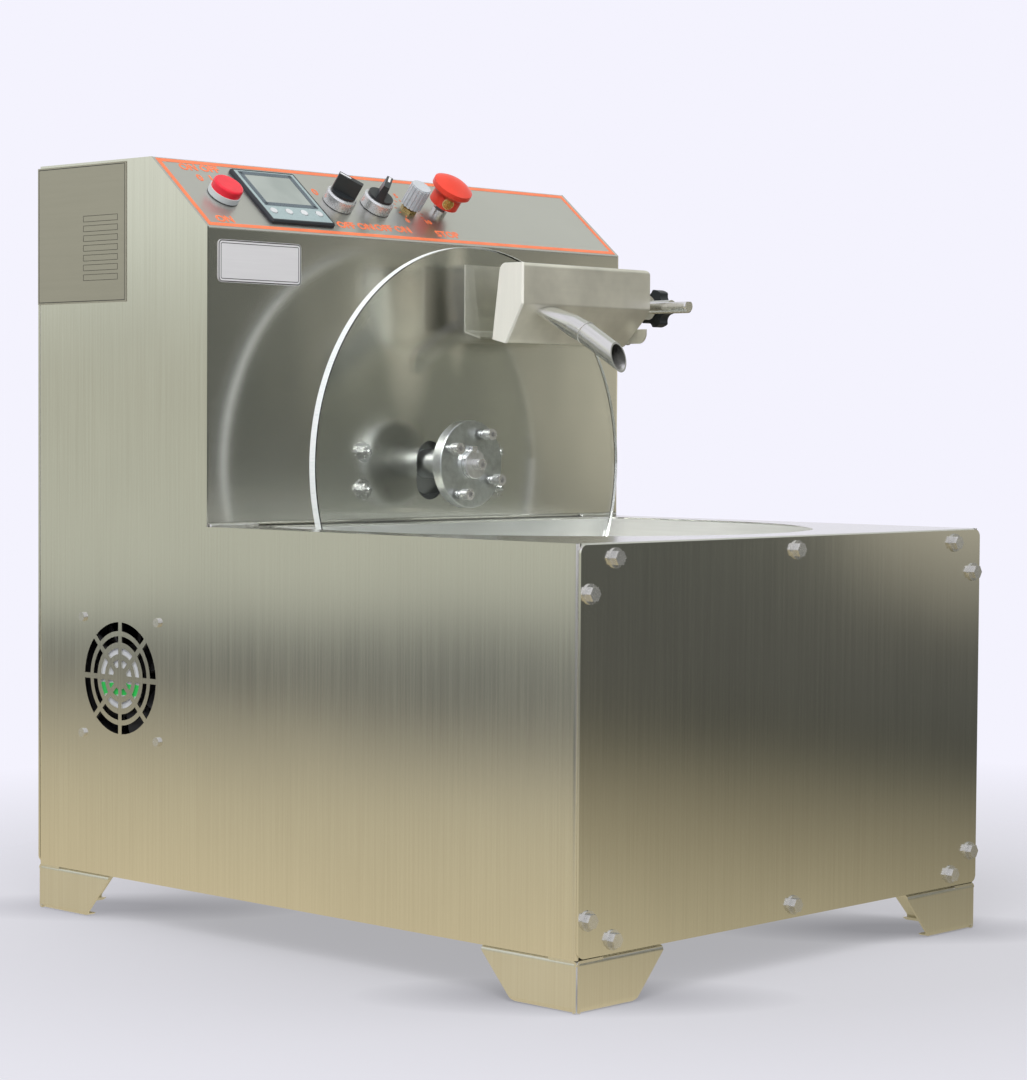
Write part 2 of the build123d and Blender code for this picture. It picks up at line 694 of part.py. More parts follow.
def foot():
    """Front left foot: two folded trapezoid walls that meet in an open seam at the corner."""
    path = [(FOOT_FLANGE, FOOT_HEIGHT), (0, FOOT_HEIGHT), (0, 0), (FOOT_LIP, 0)]
    wall = sheet_along_x(path, FOOT_SHEET, 0, FOOT_TOP_LENGTH)
    outline = make_face(
        Polyline(
            (0, 0),
            (FOOT_BOTTOM_LENGTH, 0),
            (FOOT_TOP_LENGTH, FOOT_HEIGHT - FOOT_STRIP),
            (FOOT_TOP_LENGTH, FOOT_HEIGHT),
            (0, FOOT_HEIGHT),
            close=True,
        )
    )
    outline = fillet(outline.vertices().sort_by_distance((FOOT_BOTTOM_LENGTH, 0, 0))[0], FOOT_CORNER)
    wall = wall & prism_y(outline, 0, FOOT_FLANGE)
    low = FOOT_SHEET + BEND_RADIUS
    wall -= span_box(0, FOOT_LIP + low, low, FOOT_FLANGE, 0, FOOT_HEIGHT - low)
    walls = wall + mirror(wall, about=Plane(origin=(0, 0, 0), x_dir=(0, 0, 1), z_dir=(1, -1, 0)))
    seam = Rot(0, 0, 45) * Box(4 * low, FOOT_SEAM, 2 * (FOOT_HEIGHT - FOOT_STRIP))
    placed = Pos(-half_width + FOOT_INSET, front_y + FOOT_INSET, 0) * (walls - seam)
    for x, y in foot_bolt_places():
        placed -= Pos(x, y, FOOT_HEIGHT) * Cylinder(bolt_hole / 2, 4 * FOOT_SHEET)
    return placed


def foot_bolts():
    """Group of bolts that hold the feet from below."""
    seat_z = FOOT_HEIGHT - FOOT_SHEET
    seats = [Plane(origin=(x, y, seat_z), x_dir=(1, 0, 0), z_dir=(0, 0, -1)) for x, y in foot_bolt_places()]
    return Compound(children=[seat * hex_bolt(BOLT_LENGTH) for seat in seats])


# Tub


def tub():
    """Welded tub that hangs under the deck by its rim."""
    depth = tub_rim_z - tub_floor_z
    hollow = extrude(Pos(0, 0, tub_floor_z) * tub_outline(0, tub_rear_corner), depth)
    hollow = fillet(hollow.edges().group_by(Axis.Z)[0], tub_floor_radius)
    bowl = extrude(Pos(0, 0, tub_floor_z - SHEET) * tub_outline(SHEET, tub_rear_corner + SHEET), depth + SHEET)
    bowl = fillet(bowl.edges().group_by(Axis.Z)[0], tub_floor_radius + SHEET)
    rim = extrude(Pos(0, 0, tub_rim_z - SHEET) * tub_outline(TUB_RIM, tub_rear_corner + TUB_RIM), SHEET)
    return bowl + rim - hollow


def probe_y():
    """Place of the probe behind the tub's front wall."""
    return tub_front_y + PROBE_FRONT_GAP


def heater_pad():
    """Flat heater under the tub's floor, with a hole for the probe."""
    low = tub_floor_z - SHEET - HEATER_PAD
    pad = extrude(Pos(0, 0, low) * tub_outline(-HEATER_INSET, HEATER_CORNER), HEATER_PAD)
    return pad - Pos(0, probe_y(), low) * Cylinder(PROBE_DIAMETER / 2 + PROBE_GAP, 4 * HEATER_PAD)


def tub_probe():
    """Temperature probe pressed against the tub's floor from below."""
    top = tub_floor_z - SHEET
    body = rod_between(PROBE_DIAMETER / 2, top - PROBE_LENGTH, top)
    nut = Pos(0, 0, top - PROBE_LENGTH) * hexagon(PROBE_DIAMETER + 2 * PROBE_GAP, PROBE_LENGTH / 3)
    return Pos(0, probe_y(), 0) * (body + nut)


# Wheel and drive


def hub_screw_places():
    """(x, z) of the hub's screws."""
    places = []
    for i in range(HUB_SCREW_COUNT):
        angle = math.radians(HUB_SCREW_ANGLE + 360 / HUB_SCREW_COUNT * i)
        reach = HUB_SCREW_CIRCLE / 2
        places.append((reach * math.cos(angle), axis_z + reach * math.sin(angle)))
    return places


def hub_bore(y0, y1):
    """Shaft bore with its keyway, and the screw holes."""
    fit = 2 * RUNNING_CLEARANCE
    cut = along_y(0, axis_z, (SHAFT_DIAMETER + fit) / 2, y0, y1)
    key_top = axis_z + SHAFT_DIAMETER / 2 - KEY_DEPTH + KEY_HEIGHT + fit
    cut += span_box(-KEY_WIDTH / 2 - fit, KEY_WIDTH / 2 + fit, y0, y1, axis_z, key_top)
    for x, z in hub_screw_places():
        cut += along_y(x, z, (HUB_SCREW_DIAMETER + HOLE_CLEARANCE) / 2, y0, y1)
    return cut


def tempering_wheel():
    """Clear disc that dips into the tub."""
    disc = along_y(0, axis_z, wheel_radius, wheel_front_y, wheel_back_y)
    disc = chamfer(disc.edges(), WHEEL_EDGE)
    return disc - hub_bore(wheel_front_y - SHEET, wheel_back_y + SHEET)


def hub_flange():
    """Turned flange behind the wheel, with room for a thin soft washer."""
    disc = along_y(0, axis_z, HUB_DIAMETER / 2, hub_front_y, hub_back_y)
    disc = chamfer(disc.edges(), WHEEL_EDGE)
    return disc - hub_bore(wheel_back_y - SHEET, hub_back_y + SHEET)


def drive_shaft():
    """Output shaft from the wheel's face through the gearbox."""
    front = wheel_front_y - SHAFT_PROUD
    back = gearbox_back_y + SHAFT_TAIL
    shaft = chamfer(along_y(0, axis_z, SHAFT_DIAMETER / 2, front, back).edges(), SHAFT_PROUD / 2)
    seat_z = axis_z + SHAFT_DIAMETER / 2 - KEY_DEPTH
    shaft -= span_box(-KEY_WIDTH / 2, KEY_WIDTH / 2, front, hub_back_y, seat_z, axis_z + SHAFT_DIAMETER)
    hole = END_SCREW_DIAMETER / 2 + RUNNING_CLEARANCE
    return shaft - along_y(0, axis_z, hole, front, front + END_SCREW_LENGTH + SHAFT_PROUD)


def shaft_key():
    """Parallel key between shaft and hub."""
    low = axis_z + SHAFT_DIAMETER / 2 - KEY_DEPTH
    return span_box(-KEY_WIDTH / 2, KEY_WIDTH / 2, wheel_front_y, hub_back_y, low, low + KEY_HEIGHT)


def cap_screw(y, x, z, diameter, head, head_height, length):
    """Socket cap screw driven along +Y, its head seated at y."""
    screw = along_y(x, z, head / 2, y - head_height, y) + along_y(x, z, diameter / 2, y, y + length)
    socket = Pos(x, y - head_height, z) * Rot(-90, 0, 0) * hexagon(diameter * SOCKET_SHARE, head_height / 2)
    return screw - socket


def hub_screws():
    """Four wheel screws and the shaft's end screw."""
    reach = hub_back_y - wheel_front_y
    screws = [
        cap_screw(wheel_front_y, x, z, HUB_SCREW_DIAMETER, HUB_SCREW_HEAD, HUB_SCREW_HEAD_HEIGHT, reach)
        for x, z in hub_screw_places()
    ]
    front = wheel_front_y - SHAFT_PROUD
    screws.append(
        cap_screw(front, 0, axis_z, END_SCREW_DIAMETER, END_SCREW_HEAD, END_SCREW_HEAD_HEIGHT, END_SCREW_LENGTH)
    )
    return Compound(children=screws)


def bracket_bolt_places():
    """(x, z) of the bolts that hold the gear motor's bracket to the riser."""
    reach_x = BRACKET_BOLT_SPAN / 2
    reach_z = BRACKET_BOLT_RISE / 2
    return [(x, slot_z + z) for x in (-reach_x, reach_x) for z in (-reach_z, reach_z)]


def bracket_bolts():
    """Studs on the riser, each with a wide washer and a nut."""
    nut_top = BRACKET_WASHER + BRACKET_NUT
    washer = rod_between(BRACKET_WASHER_DIAMETER / 2, 0, BRACKET_WASHER)
    nut = Pos(0, 0, BRACKET_WASHER) * hexagon(BOLT_HEAD_FLATS, BRACKET_NUT)
    stud = chamfer(
        rod_between(BOLT_DIAMETER / 2, -BOLT_LENGTH, nut_top + BRACKET_STUD_PROUD).edges().group_by(Axis.Z)[-1],
        ROD_END_CHAMFER,
    )
    seats = [Plane(origin=(x, riser_y, z), x_dir=(1, 0, 0), z_dir=(0, -1, 0)) for x, z in bracket_bolt_places()]
    return Compound(children=[seat * (washer + nut + stud) for seat in seats])


def motor_bracket():
    """Plate behind the riser that carries the gearbox."""
    face = Pos(0, slot_z) * RectangleRounded(BRACKET_WIDTH, BRACKET_HEIGHT, COVER_CORNER)
    face -= Pos(0, axis_z) * Circle(BRACKET_WINDOW / 2)
    plate = prism_y(face, riser_back_y, bracket_back_y)
    for x, z in bracket_bolt_places():
        plate -= along_y(x, z, bolt_hole / 2, riser_back_y - SHEET, bracket_back_y + SHEET)
    return plate


def gearbox():
    """Worm gearbox with a hollow output shaft, closed."""
    worm_z = axis_z + WORM_OFFSET
    middle_y = bracket_back_y + GEARBOX_LENGTH / 2
    half = GEARBOX_WIDTH / 2
    body = span_box(
        -half, half, bracket_back_y, gearbox_back_y, axis_z - GEARBOX_BELOW, axis_z + GEARBOX_ABOVE
    )
    body = fillet(body.edges().filter_by(Axis.Y), GEARBOX_CORNER)
    reach = WORM_BOSS_LENGTH / 2
    body += along_x(middle_y, worm_z, WORM_BOSS / 2, -reach, reach)
    bore = SHAFT_DIAMETER / 2 + RUNNING_CLEARANCE
    return body - along_y(0, axis_z, bore, bracket_back_y - SHEET, gearbox_back_y + SHEET)


def drive_motor():
    """Motor flanged to the gearbox's worm side, with an end cap."""
    middle_y = bracket_back_y + GEARBOX_LENGTH / 2
    worm_z = axis_z + WORM_OFFSET
    start = WORM_BOSS_LENGTH / 2
    flange = along_x(middle_y, worm_z, MOTOR_FLANGE_DIAMETER / 2, start, start + MOTOR_FLANGE)
    can_end = start + MOTOR_FLANGE + MOTOR_LENGTH - MOTOR_CAP
    can = along_x(middle_y, worm_z, MOTOR_DIAMETER / 2, start + MOTOR_FLANGE, can_end)
    cap = along_x(middle_y, worm_z, MOTOR_DIAMETER / 2 - BEND_RADIUS, can_end, can_end + MOTOR_CAP)
    return flange + can + cap


# Scraper, guide rod and clamp knob


def tray_path():
    """(y, z) of the front tray's outer line, from its top flange down to its lip."""
    return [
        (tray_front_y + SCRAPER_TOP_FLANGE, scraper_top_z),
        (tray_front_y, scraper_top_z),
        (tray_front_y, knee_z),
        (tray_lip_y - SCRAPER_LIP, tray_lip_z - SCRAPER_LIP_RISE),
        (tray_lip_y, tray_lip_z),
    ]


def rear_path():
    """(y, z) of the rear plate's outer line, from its lip up to its top."""
    return [
        (rear_lip_y, rear_low_z - SCRAPER_REAR_LIP_RISE),
        (rear_wall_y, rear_low_z),
        (rear_wall_y, scraper_top_z),
    ]


def spout_points():
    """Centre line of the spout, from inside the tray to past its mouth."""
    x = scraper_left_x + SPOUT_FROM_END
    points = [Vector(x, tray_front_y + SPOUT_ROOT_DEPTH, scraper_top_z - SPOUT_ROOT_DROP)]
    for run, angle in ((SPOUT_FIRST_RUN, SPOUT_FIRST_ANGLE), (SPOUT_SECOND_RUN, SPOUT_SECOND_ANGLE)):
        slant = math.radians(angle)
        points.append(points[-1] + Vector(0, -math.cos(slant), -math.sin(slant)) * run)
    return points


def spout_tube(grow):
    """Solid within the spout's skin, larger by grow: a flattened root, then two mitred lengths."""
    start, bend, mouth = spout_points()
    radius = SPOUT_DIAMETER / 2 + grow
    mitre = Plane(origin=bend, z_dir=(bend - start).normalized() + (mouth - bend).normalized())
    first = Plane(origin=start, x_dir=(1, 0, 0), z_dir=bend - start)
    second = Plane(origin=bend, x_dir=(1, 0, 0), z_dir=mouth - bend)
    root = Ellipse(SPOUT_ROOT_WIDTH / 2 + grow, SPOUT_ROOT_HEIGHT / 2 + grow)
    neck = Pos(0, 0, SPOUT_NECK_RUN) * Circle(radius)
    spread = first * loft([root.face(), neck.face()])
    upper = first * rod_between(radius, SPOUT_NECK_RUN, SPOUT_FIRST_RUN + SPOUT_DIAMETER)
    lower = second * rod_between(radius, -SPOUT_DIAMETER, SPOUT_SECOND_RUN + SPOUT_DIAMETER)
    upper = split(upper, bisect_by=mitre, keep=Keep.BOTTOM)
    lower = split(lower, bisect_by=mitre, keep=Keep.TOP)
    return spread + upper + lower


def tray_inside():
    """Block on the inner side of the front tray's slope."""
    _, _, knee, low, _ = offset_points(tray_path(), SHEET)
    slope = Plane(
        origin=(0, knee[0], knee[1]), x_dir=(1, 0, 0), z_dir=(0, knee[1] - low[1], low[0] - knee[0])
    )
    size = 4 * SCRAPER_HEIGHT
    return slope * Pos(0, 0, size / 2) * Box(4 * SCRAPER_LENGTH, size, size)


def scraper_spout():
    """Tube pressed wide at its root, bent once, with a slanted mouth."""
    tube = spout_tube(0) - spout_tube(-SPOUT_WALL) - tray_inside()
    slant = math.radians(SPOUT_CUT_ANGLE)
    mouth = spout_points()[-1]
    cut = Plane(origin=mouth, x_dir=(1, 0, 0), z_dir=(0, -math.cos(slant), math.sin(slant)))
    size = 4 * SPOUT_DIAMETER
    return tube - cut * Pos(0, 0, size / 2) * Box(size, size, size)


def scraper_front_tray():
    """Bent tray in front of the wheel, cut back at its lower right end."""
    tray = sheet_along_x(tray_path(), SHEET, scraper_left_x + SCRAPER_PLATE, scraper_right_x)
    tray -= spout_tube(SPOUT_FIT)
    outline = Pos((scraper_left_x + scraper_right_x) / 2, scraper_top_z - SCRAPER_HEIGHT) * Rectangle(
        SCRAPER_LENGTH, 2 * SCRAPER_HEIGHT
    )
    outline = fillet(outline.vertices().group_by(Axis.X)[-1].group_by(Axis.Y)[-1], SCRAPER_END_CORNER)
    cut_back = make_face(
        Polyline(
            (scraper_right_x, knee_z - SCRAPER_END_CORNER),
            (scraper_right_x, knee_z - SCRAPER_HEIGHT),
            (scraper_right_x - SCRAPER_CUT_BACK, knee_z - SCRAPER_HEIGHT),
            (scraper_right_x - SCRAPER_CUT_BACK, knee_z - SCRAPER_WALL),
            close=True,
        )
    )
    return tray & prism_y(outline - cut_back, tray_front_y - SHEET, rear_wall_y)


def scraper_rear_plate():
    """Bent plate behind the wheel."""
    return sheet_along_x(rear_path(), SHEET, scraper_left_x + SCRAPER_PLATE, scraper_right_x)


def scraper_end_plate():
    """Bright plate that closes the front tray's left end."""
    points = tray_path()
    points[0] = (points[0][0] + SCRAPER_PLATE, scraper_top_z)
    face = make_face(Polyline(*points, close=True))
    corner = face.vertices().sort_by_distance((points[0][0], points[0][1], 0))[0]
    face = fillet(corner, SCRAPER_PLATE_CORNER)
    return extrude(Plane.YZ.offset(scraper_left_x) * face, SCRAPER_PLATE)


def scraper_web():
    """Plate that joins tray and rear plate, clear of the wheel's rim."""
    front = offset_points(tray_path(), SHEET)[1:]
    rear = offset_points(rear_path(), SHEET)
    rear[-1] = (rear[-1][0], front[0][1])
    face = make_face(Polyline(*front, *rear, close=True))
    inside = [front[0], front[1], front[2], rear[1]]
    corners = [face.vertices().sort_by_distance((y, z, 0))[0] for y, z in inside]
    face = fillet(corners, WEB_CORNER)
    cut_slope = (SCRAPER_WALL - SCRAPER_END_CORNER) / SCRAPER_CUT_BACK
    ear_top = knee_z - SCRAPER_END_CORNER - (scraper_right_x - web_x + SHEET) * cut_slope - WEB_EAR_GAP
    ear = Pos((tray_front_y + tray_lip_y) / 2, (tray_lip_z + ear_top) / 2) * Rectangle(
        tray_lip_y - tray_front_y, ear_top - tray_lip_z
    )
    ear = fillet(ear.vertices().sort_by_distance((tray_front_y, tray_lip_z, 0))[0], WEB_EAR_CORNER)
    web = extrude(Plane.YZ.offset(web_x - SHEET) * (face + ear), SHEET)
    return web - along_y(0, axis_z, wheel_radius + SCRAPER_WHEEL_GAP, tray_lip_y, rear_lip_y)


def scraper_collar():
    """Collar on the guide rod with the arm that carries the scraper."""
    y0 = collar_y - COLLAR_LENGTH / 2
    y1 = collar_y + COLLAR_LENGTH / 2
    collar = along_y(rod_x, rod_z, collar_radius, y0, y1)
    collar += span_box(web_x, rod_x, y0, y1, rod_z - COLLAR_ARM / 2, rod_z + COLLAR_ARM / 2)
    collar -= along_y(rod_x, rod_z, ROD_DIAMETER / 2 + RUNNING_CLEARANCE, y0 - SHEET, y1 + SHEET)
    stud = KNOB_STUD_DIAMETER / 2 + RUNNING_CLEARANCE
    return collar - along_x(collar_y, rod_z, stud, rod_x, rod_x + COLLAR_DIAMETER)


def clamp_knob():
    """Star knob with its stud, screwed into the collar from the right."""
    star = Sketch() + Circle(KNOB_DIAMETER / 2)
    for i in range(KNOB_LOBES):
        star -= Rot(0, 0, 360 / KNOB_LOBES * i) * Pos(KNOB_NOTCH_REACH, 0) * Circle(KNOB_NOTCH_DIAMETER / 2)
    star = fillet(star.vertices(), KNOB_EDGE)
    start = collar_radius + KNOB_STUD_GAP
    star = Pos(0, 0, start + KNOB_NECK) * extrude(star, KNOB_THICKNESS)
    star = chamfer(star.edges().group_by(Axis.Z)[-1], KNOB_EDGE / 2)
    neck = rod_between(KNOB_NECK_DIAMETER / 2, start, start + KNOB_NECK)
    stud = rod_between(KNOB_STUD_DIAMETER / 2, ROD_DIAMETER / 2 + KNOB_STUD_GAP, start)
    seat = Plane(origin=(rod_x, collar_y, rod_z), x_dir=(0, 1, 0), z_dir=(1, 0, 0))
    return seat * (star + neck + stud)


def guide_rod():
    """Rod on the riser that carries the scraper, with a milled flat at its end."""
    radius = ROD_DIAMETER / 2
    rod = along_y(rod_x, rod_z, radius, rod_front_y, riser_back_y + ROD_TAIL)
    rod = chamfer(rod.edges().group_by(Axis.Y)[0], ROD_END_CHAMFER)
    flat_z = rod_z + radius - ROD_FLAT_DEPTH
    return rod - span_box(
        rod_x - radius, rod_x + radius, rod_front_y, rod_front_y + ROD_FLAT_LENGTH, flat_z, rod_z + radius
    )


def guide_rod_nuts():
    """Nuts on both faces of the riser."""
    nuts = []
    for y in (riser_y, riser_back_y + ROD_NUT):
        nut = hexagon(ROD_NUT_FLATS, ROD_NUT) - Cylinder(ROD_DIAMETER / 2 + RUNNING_CLEARANCE, 4 * ROD_NUT)
        nuts.append(Plane(origin=(rod_x, y, rod_z), x_dir=(1, 0, 0), z_dir=(0, -1, 0)) * nut)
    return Compound(children=nuts)


# Controls, drawn upright on the panel's own plane


def barrel():
    """Threaded barrel of a panel device, behind the panel."""
    return rod_between(BARREL_DIAMETER / 2, -BARREL_LENGTH, 0)


def pilot_bezel():
    """Bezel and barrel of the pilot lamp."""
    bezel = rod_between(PILOT_DIAMETER / 2, 0, PILOT_BEZEL)
    return panel * Pos(pilot_x, PILOT_LINE, 0) * (bezel + barrel())


def pilot_lens():
    """Flat-topped lens of the pilot lamp."""
    lens = rod_between(PILOT_LENS_DIAMETER / 2, PILOT_BEZEL, PILOT_BEZEL + PILOT_LENS)
    lens = fillet(lens.edges().group_by(Axis.Z)[-1], PILOT_LENS_EDGE)
    return panel * Pos(pilot_x, PILOT_LINE, 0) * lens


def button_places():
    """Button centres on the controller's face."""
    start = -BUTTON_PITCH * (BUTTON_COUNT - 1) / 2
    return [(start + BUTTON_PITCH * i, -BUTTON_DROP) for i in range(BUTTON_COUNT)]


def controller_case():
    """Temperature controller: bezel in front of the panel and body behind it."""
    case = extrude(RectangleRounded(CONTROLLER_SIZE, CONTROLLER_SIZE, CONTROLLER_CORNER), CONTROLLER_PROUD)
    case = chamfer(case.edges().group_by(Axis.Z)[-1], SCREEN_DEPTH)
    case += Pos(0, 0, -CONTROLLER_BODY_DEPTH / 2) * Box(CONTROLLER_BODY, CONTROLLER_BODY, CONTROLLER_BODY_DEPTH)
    window = Rectangle(SCREEN_WIDTH, SCREEN_HEIGHT)
    case -= Pos(0, SCREEN_RISE, CONTROLLER_PROUD - SCREEN_DEPTH) * extrude(window, SCREEN_DEPTH)
    for u, v in button_places():
        well = rod_between(BUTTON_DIAMETER / 2 + BUTTON_FIT, CONTROLLER_PROUD - BUTTON_WELL, CONTROLLER_PROUD)
        case -= Pos(u, v, 0) * well
    return panel * Pos(controller_x, CONTROL_LINE, 0) * case


def controller_screen():
    """Display glass set in the controller's face."""
    glass = Rectangle(SCREEN_WIDTH - 2 * SCREEN_FIT, SCREEN_HEIGHT - 2 * SCREEN_FIT)
    low = CONTROLLER_PROUD - SCREEN_DEPTH
    place = panel * Pos(controller_x, CONTROL_LINE + SCREEN_RISE, low)
    return place * extrude(glass, SCREEN_DEPTH)


def controller_button(u, v):
    """One push button of the controller."""
    cap = rod_between(BUTTON_DIAMETER / 2, CONTROLLER_PROUD - BUTTON_DEPTH, CONTROLLER_PROUD + BUTTON_PROUD)
    cap = chamfer(cap.edges().group_by(Axis.Z)[-1], BUTTON_PROUD / 2)
    return panel * Pos(controller_x + u, CONTROL_LINE + v, 0) * cap


def selector_bezel(x):
    """Turned bezel and barrel of a selector switch."""
    bezel = rod_between(SELECTOR_DIAMETER / 2, 0, SELECTOR_BEZEL)
    bezel = chamfer(bezel.edges().group_by(Axis.Z)[-1], SELECTOR_EDGE)
    depth = SELECTOR_STEM + SELECTOR_GAP
    bore = rod_between(SELECTOR_STEM_DIAMETER / 2 + RUNNING_CLEARANCE, SELECTOR_BEZEL - depth, SELECTOR_BEZEL)
    return panel * Pos(x, CONTROL_LINE, 0) * (bezel + barrel() - bore)


def selector_handle(x, angle):
    """Blade handle of a selector switch, turned from straight up the slope."""
    low = SELECTOR_BEZEL + SELECTOR_GAP
    disc = rod_between(SELECTOR_DISC_DIAMETER / 2, low, low + SELECTOR_DISC)
    root = Pos(0, 0, low + SELECTOR_DISC) * Rectangle(SELECTOR_BLADE_WIDTH, SELECTOR_BLADE_LENGTH)
    tip = Pos(0, 0, low + SELECTOR_DISC + SELECTOR_BLADE) * Rectangle(SELECTOR_BLADE_TOP, SELECTOR_BLADE_LENGTH)
    blade = loft([root.face(), tip.face()])
    blade = blade & rod_between(SELECTOR_BLADE_LENGTH / 2, low, low + 2 * SELECTOR_BLADE)
    stem = rod_between(SELECTOR_STEM_DIAMETER / 2, SELECTOR_BEZEL - SELECTOR_STEM, low)
    return panel * Pos(x, CONTROL_LINE, 0) * Rot(0, 0, angle) * (disc + blade + stem)


def speed_pot_bush():
    """Brass bush and nut of the speed potentiometer, with its body behind the panel."""
    bush = rod_between(POT_BUSH_DIAMETER / 2, -2 * SHEET, POT_BUSH) + hexagon(POT_NUT_FLATS, POT_NUT)
    bush += rod_between(POT_BODY_DIAMETER / 2, -SHEET - POT_BODY, -SHEET)
    bore = rod_between(POT_STEM_DIAMETER / 2 + RUNNING_CLEARANCE, POT_BUSH - POT_STEM, POT_BUSH)
    return panel * Pos(speed_x, CONTROL_LINE, 0) * (bush - bore)


def speed_knob():
    """Ribbed knob on the potentiometer's stem."""
    low = POT_BUSH + SELECTOR_GAP
    radius = SPEED_KNOB_DIAMETER / 2
    outline = Sketch() + Circle(radius)
    for i in range(SPEED_KNOB_RIBS):
        outline -= Rot(0, 0, 360 / SPEED_KNOB_RIBS * i) * Pos(radius, 0) * Circle(SPEED_KNOB_GROOVE)
    knob = Pos(0, 0, low) * extrude(outline, SPEED_KNOB)
    cap = rod_between(radius - SPEED_KNOB_GROOVE, low, low + SPEED_KNOB + SPEED_KNOB_EDGE)
    stem = rod_between(POT_STEM_DIAMETER / 2, POT_BUSH - POT_STEM + SELECTOR_GAP, low)
    return panel * Pos(speed_x, CONTROL_LINE, 0) * (knob + cap + stem)


def estop_collar():
    """Metal neck and barrel of the emergency stop."""
    body = rod_between(ESTOP_COLLAR_DIAMETER / 2, 0, ESTOP_COLLAR)
    body += rod_between(ESTOP_BARREL_DIAMETER / 2, -BARREL_LENGTH, 0)
    bore = ESTOP_STEM_DIAMETER / 2 + RUNNING_CLEARANCE
    low = -ESTOP_STEM_BELOW - ESTOP_TRAVEL - ESTOP_STOP_GAP
    return panel * Pos(estop_x, CONTROL_LINE, 0) * (body - rod_between(bore, low, ESTOP_COLLAR))


def estop_stem():
    """Plunger that slides in the emergency stop's barrel."""
    return panel * Pos(estop_x, CONTROL_LINE, 0) * rod_between(
        ESTOP_STEM_DIAMETER / 2, -ESTOP_STEM_BELOW, ESTOP_STEM_TOP
    )


def estop_head():
    """Mushroom head with its skirt, turned on the stem."""
    low = ESTOP_COLLAR + ESTOP_TRAVEL + ESTOP_STOP_GAP
    skirt = ESTOP_SKIRT_DIAMETER / 2
    rim = ESTOP_HEAD_DIAMETER / 2
    edge_z = ESTOP_SKIRT_TOP + ESTOP_HEAD_EDGE
    dome_radius = (rim**2 + ESTOP_DOME**2) / (2 * ESTOP_DOME)
    half_z = math.sqrt(dome_radius**2 - (rim / 2) ** 2) - (dome_radius - ESTOP_DOME)
    outline = Polyline(
        (0, edge_z + ESTOP_DOME),
        (0, low),
        (skirt, low),
        (skirt, ESTOP_SKIRT_TOP - ESTOP_HEAD_EDGE),
        (rim, ESTOP_SKIRT_TOP),
        (rim, edge_z),
    )
    dome = ThreePointArc((rim, edge_z), (rim / 2, edge_z + half_z), (0, edge_z + ESTOP_DOME))
    profile = make_face(outline + dome)
    head = revolve(Plane.XZ * profile, Axis.Z)
    bore = ESTOP_STEM_DIAMETER / 2 + RUNNING_CLEARANCE
    head -= rod_between(bore, low, ESTOP_STEM_TOP + SELECTOR_GAP)
    return panel * Pos(estop_x, CONTROL_LINE, 0) * head


# Fan, drawn with its own Z axis pointing into the cabinet


def fan_frame():
    """Square fan frame with a round duct; its motor plate faces the grille on four struts."""
    frame = RectangleRounded(FAN_SIZE, FAN_SIZE, FAN_CORNER) - Circle(FAN_DUCT / 2)
    for u, v in fan_screw_places():
        frame -= Pos(u, v) * Circle((FAN_SCREW_DIAMETER + HOLE_CLEARANCE) / 2)
    struts = Circle(FAN_HUB_DIAMETER / 2)
    for i in range(FAN_STRUTS // 2):
        struts += Rot(0, 0, 360 / FAN_STRUTS * i + 45) * Rectangle(FAN_DUCT + FAN_CORNER, FAN_STRUT)
    struts -= Circle(FAN_PIN_DIAMETER / 2 + RUNNING_CLEARANCE)
    return fan_frame_plane * (extrude(frame, FAN_DEPTH) + extrude(struts, FAN_HUB_PLATE))


def fan_rotor():
    """Hub with twisted blades and its axle pin."""
    low = FAN_HUB_PLATE + FAN_ROTOR_GAP
    middle = low + FAN_ROTOR / 2
    hub_radius = FAN_HUB_DIAMETER / 2
    tip_radius = FAN_DUCT / 2 - FAN_TIP_GAP
    rotor = rod_between(hub_radius, low, low + FAN_ROTOR)
    rotor += rod_between(FAN_PIN_DIAMETER / 2, 0, low)
    root = Rot(0, 0, FAN_BLADE_ROOT_PITCH) * Rectangle(FAN_BLADE, FAN_BLADE_CHORD)
    tip = Rot(0, 0, FAN_BLADE_TIP_PITCH) * Rectangle(FAN_BLADE, FAN_BLADE_CHORD)
    for i in range(FAN_BLADES):
        turn = Pos(0, 0, middle) * Rot(0, 0, 360 / FAN_BLADES * i)
        inner = turn * (Plane.YZ.offset(hub_radius - FAN_BLADE) * root)
        outer = turn * (Plane.YZ.offset(tip_radius) * tip)
        rotor += loft([inner.face(), outer.face()])
    rotor = rotor & rod_between(tip_radius, 0, FAN_DEPTH)
    return fan_frame_plane * rotor


def fan_screws():
    """Group of screws through the side panel into the fan."""
    seat = fan_frame_plane * Pos(0, 0, -SHEET)
    screws = []
    for u, v in fan_screw_places():
        head = rod_between(FAN_SCREW_HEAD / 2, -FAN_SCREW_HEAD_HEIGHT, 0)
        shank = rod_between(FAN_SCREW_DIAMETER / 2, 0, FAN_SCREW_LENGTH)
        screws.append(seat * Pos(u, v, 0) * (head + shank))
    return Compound(children=screws)


# Electrics


def motor_drive():
    """Speed drive with a finned heat sink, screwed to the base plate."""
    half = DRIVE_WIDTH / 2
    low = base_floor_z
    body = span_box(-half, half, -DRIVE_LENGTH / 2, DRIVE_LENGTH / 2, low, low + DRIVE_HEIGHT)
    pitch = (DRIVE_WIDTH - DRIVE_FIN_WIDTH) / (DRIVE_FINS - 1)
    for i in range(DRIVE_FINS):
        x = -half + pitch * i
        top = low + DRIVE_HEIGHT
        body += span_box(
            x, x + DRIVE_FIN_WIDTH, -DRIVE_LENGTH / 2, DRIVE_LENGTH / 2, top, top + DRIVE_FIN
        )
    return Pos(DRIVE_X, electrics_y, 0) * body


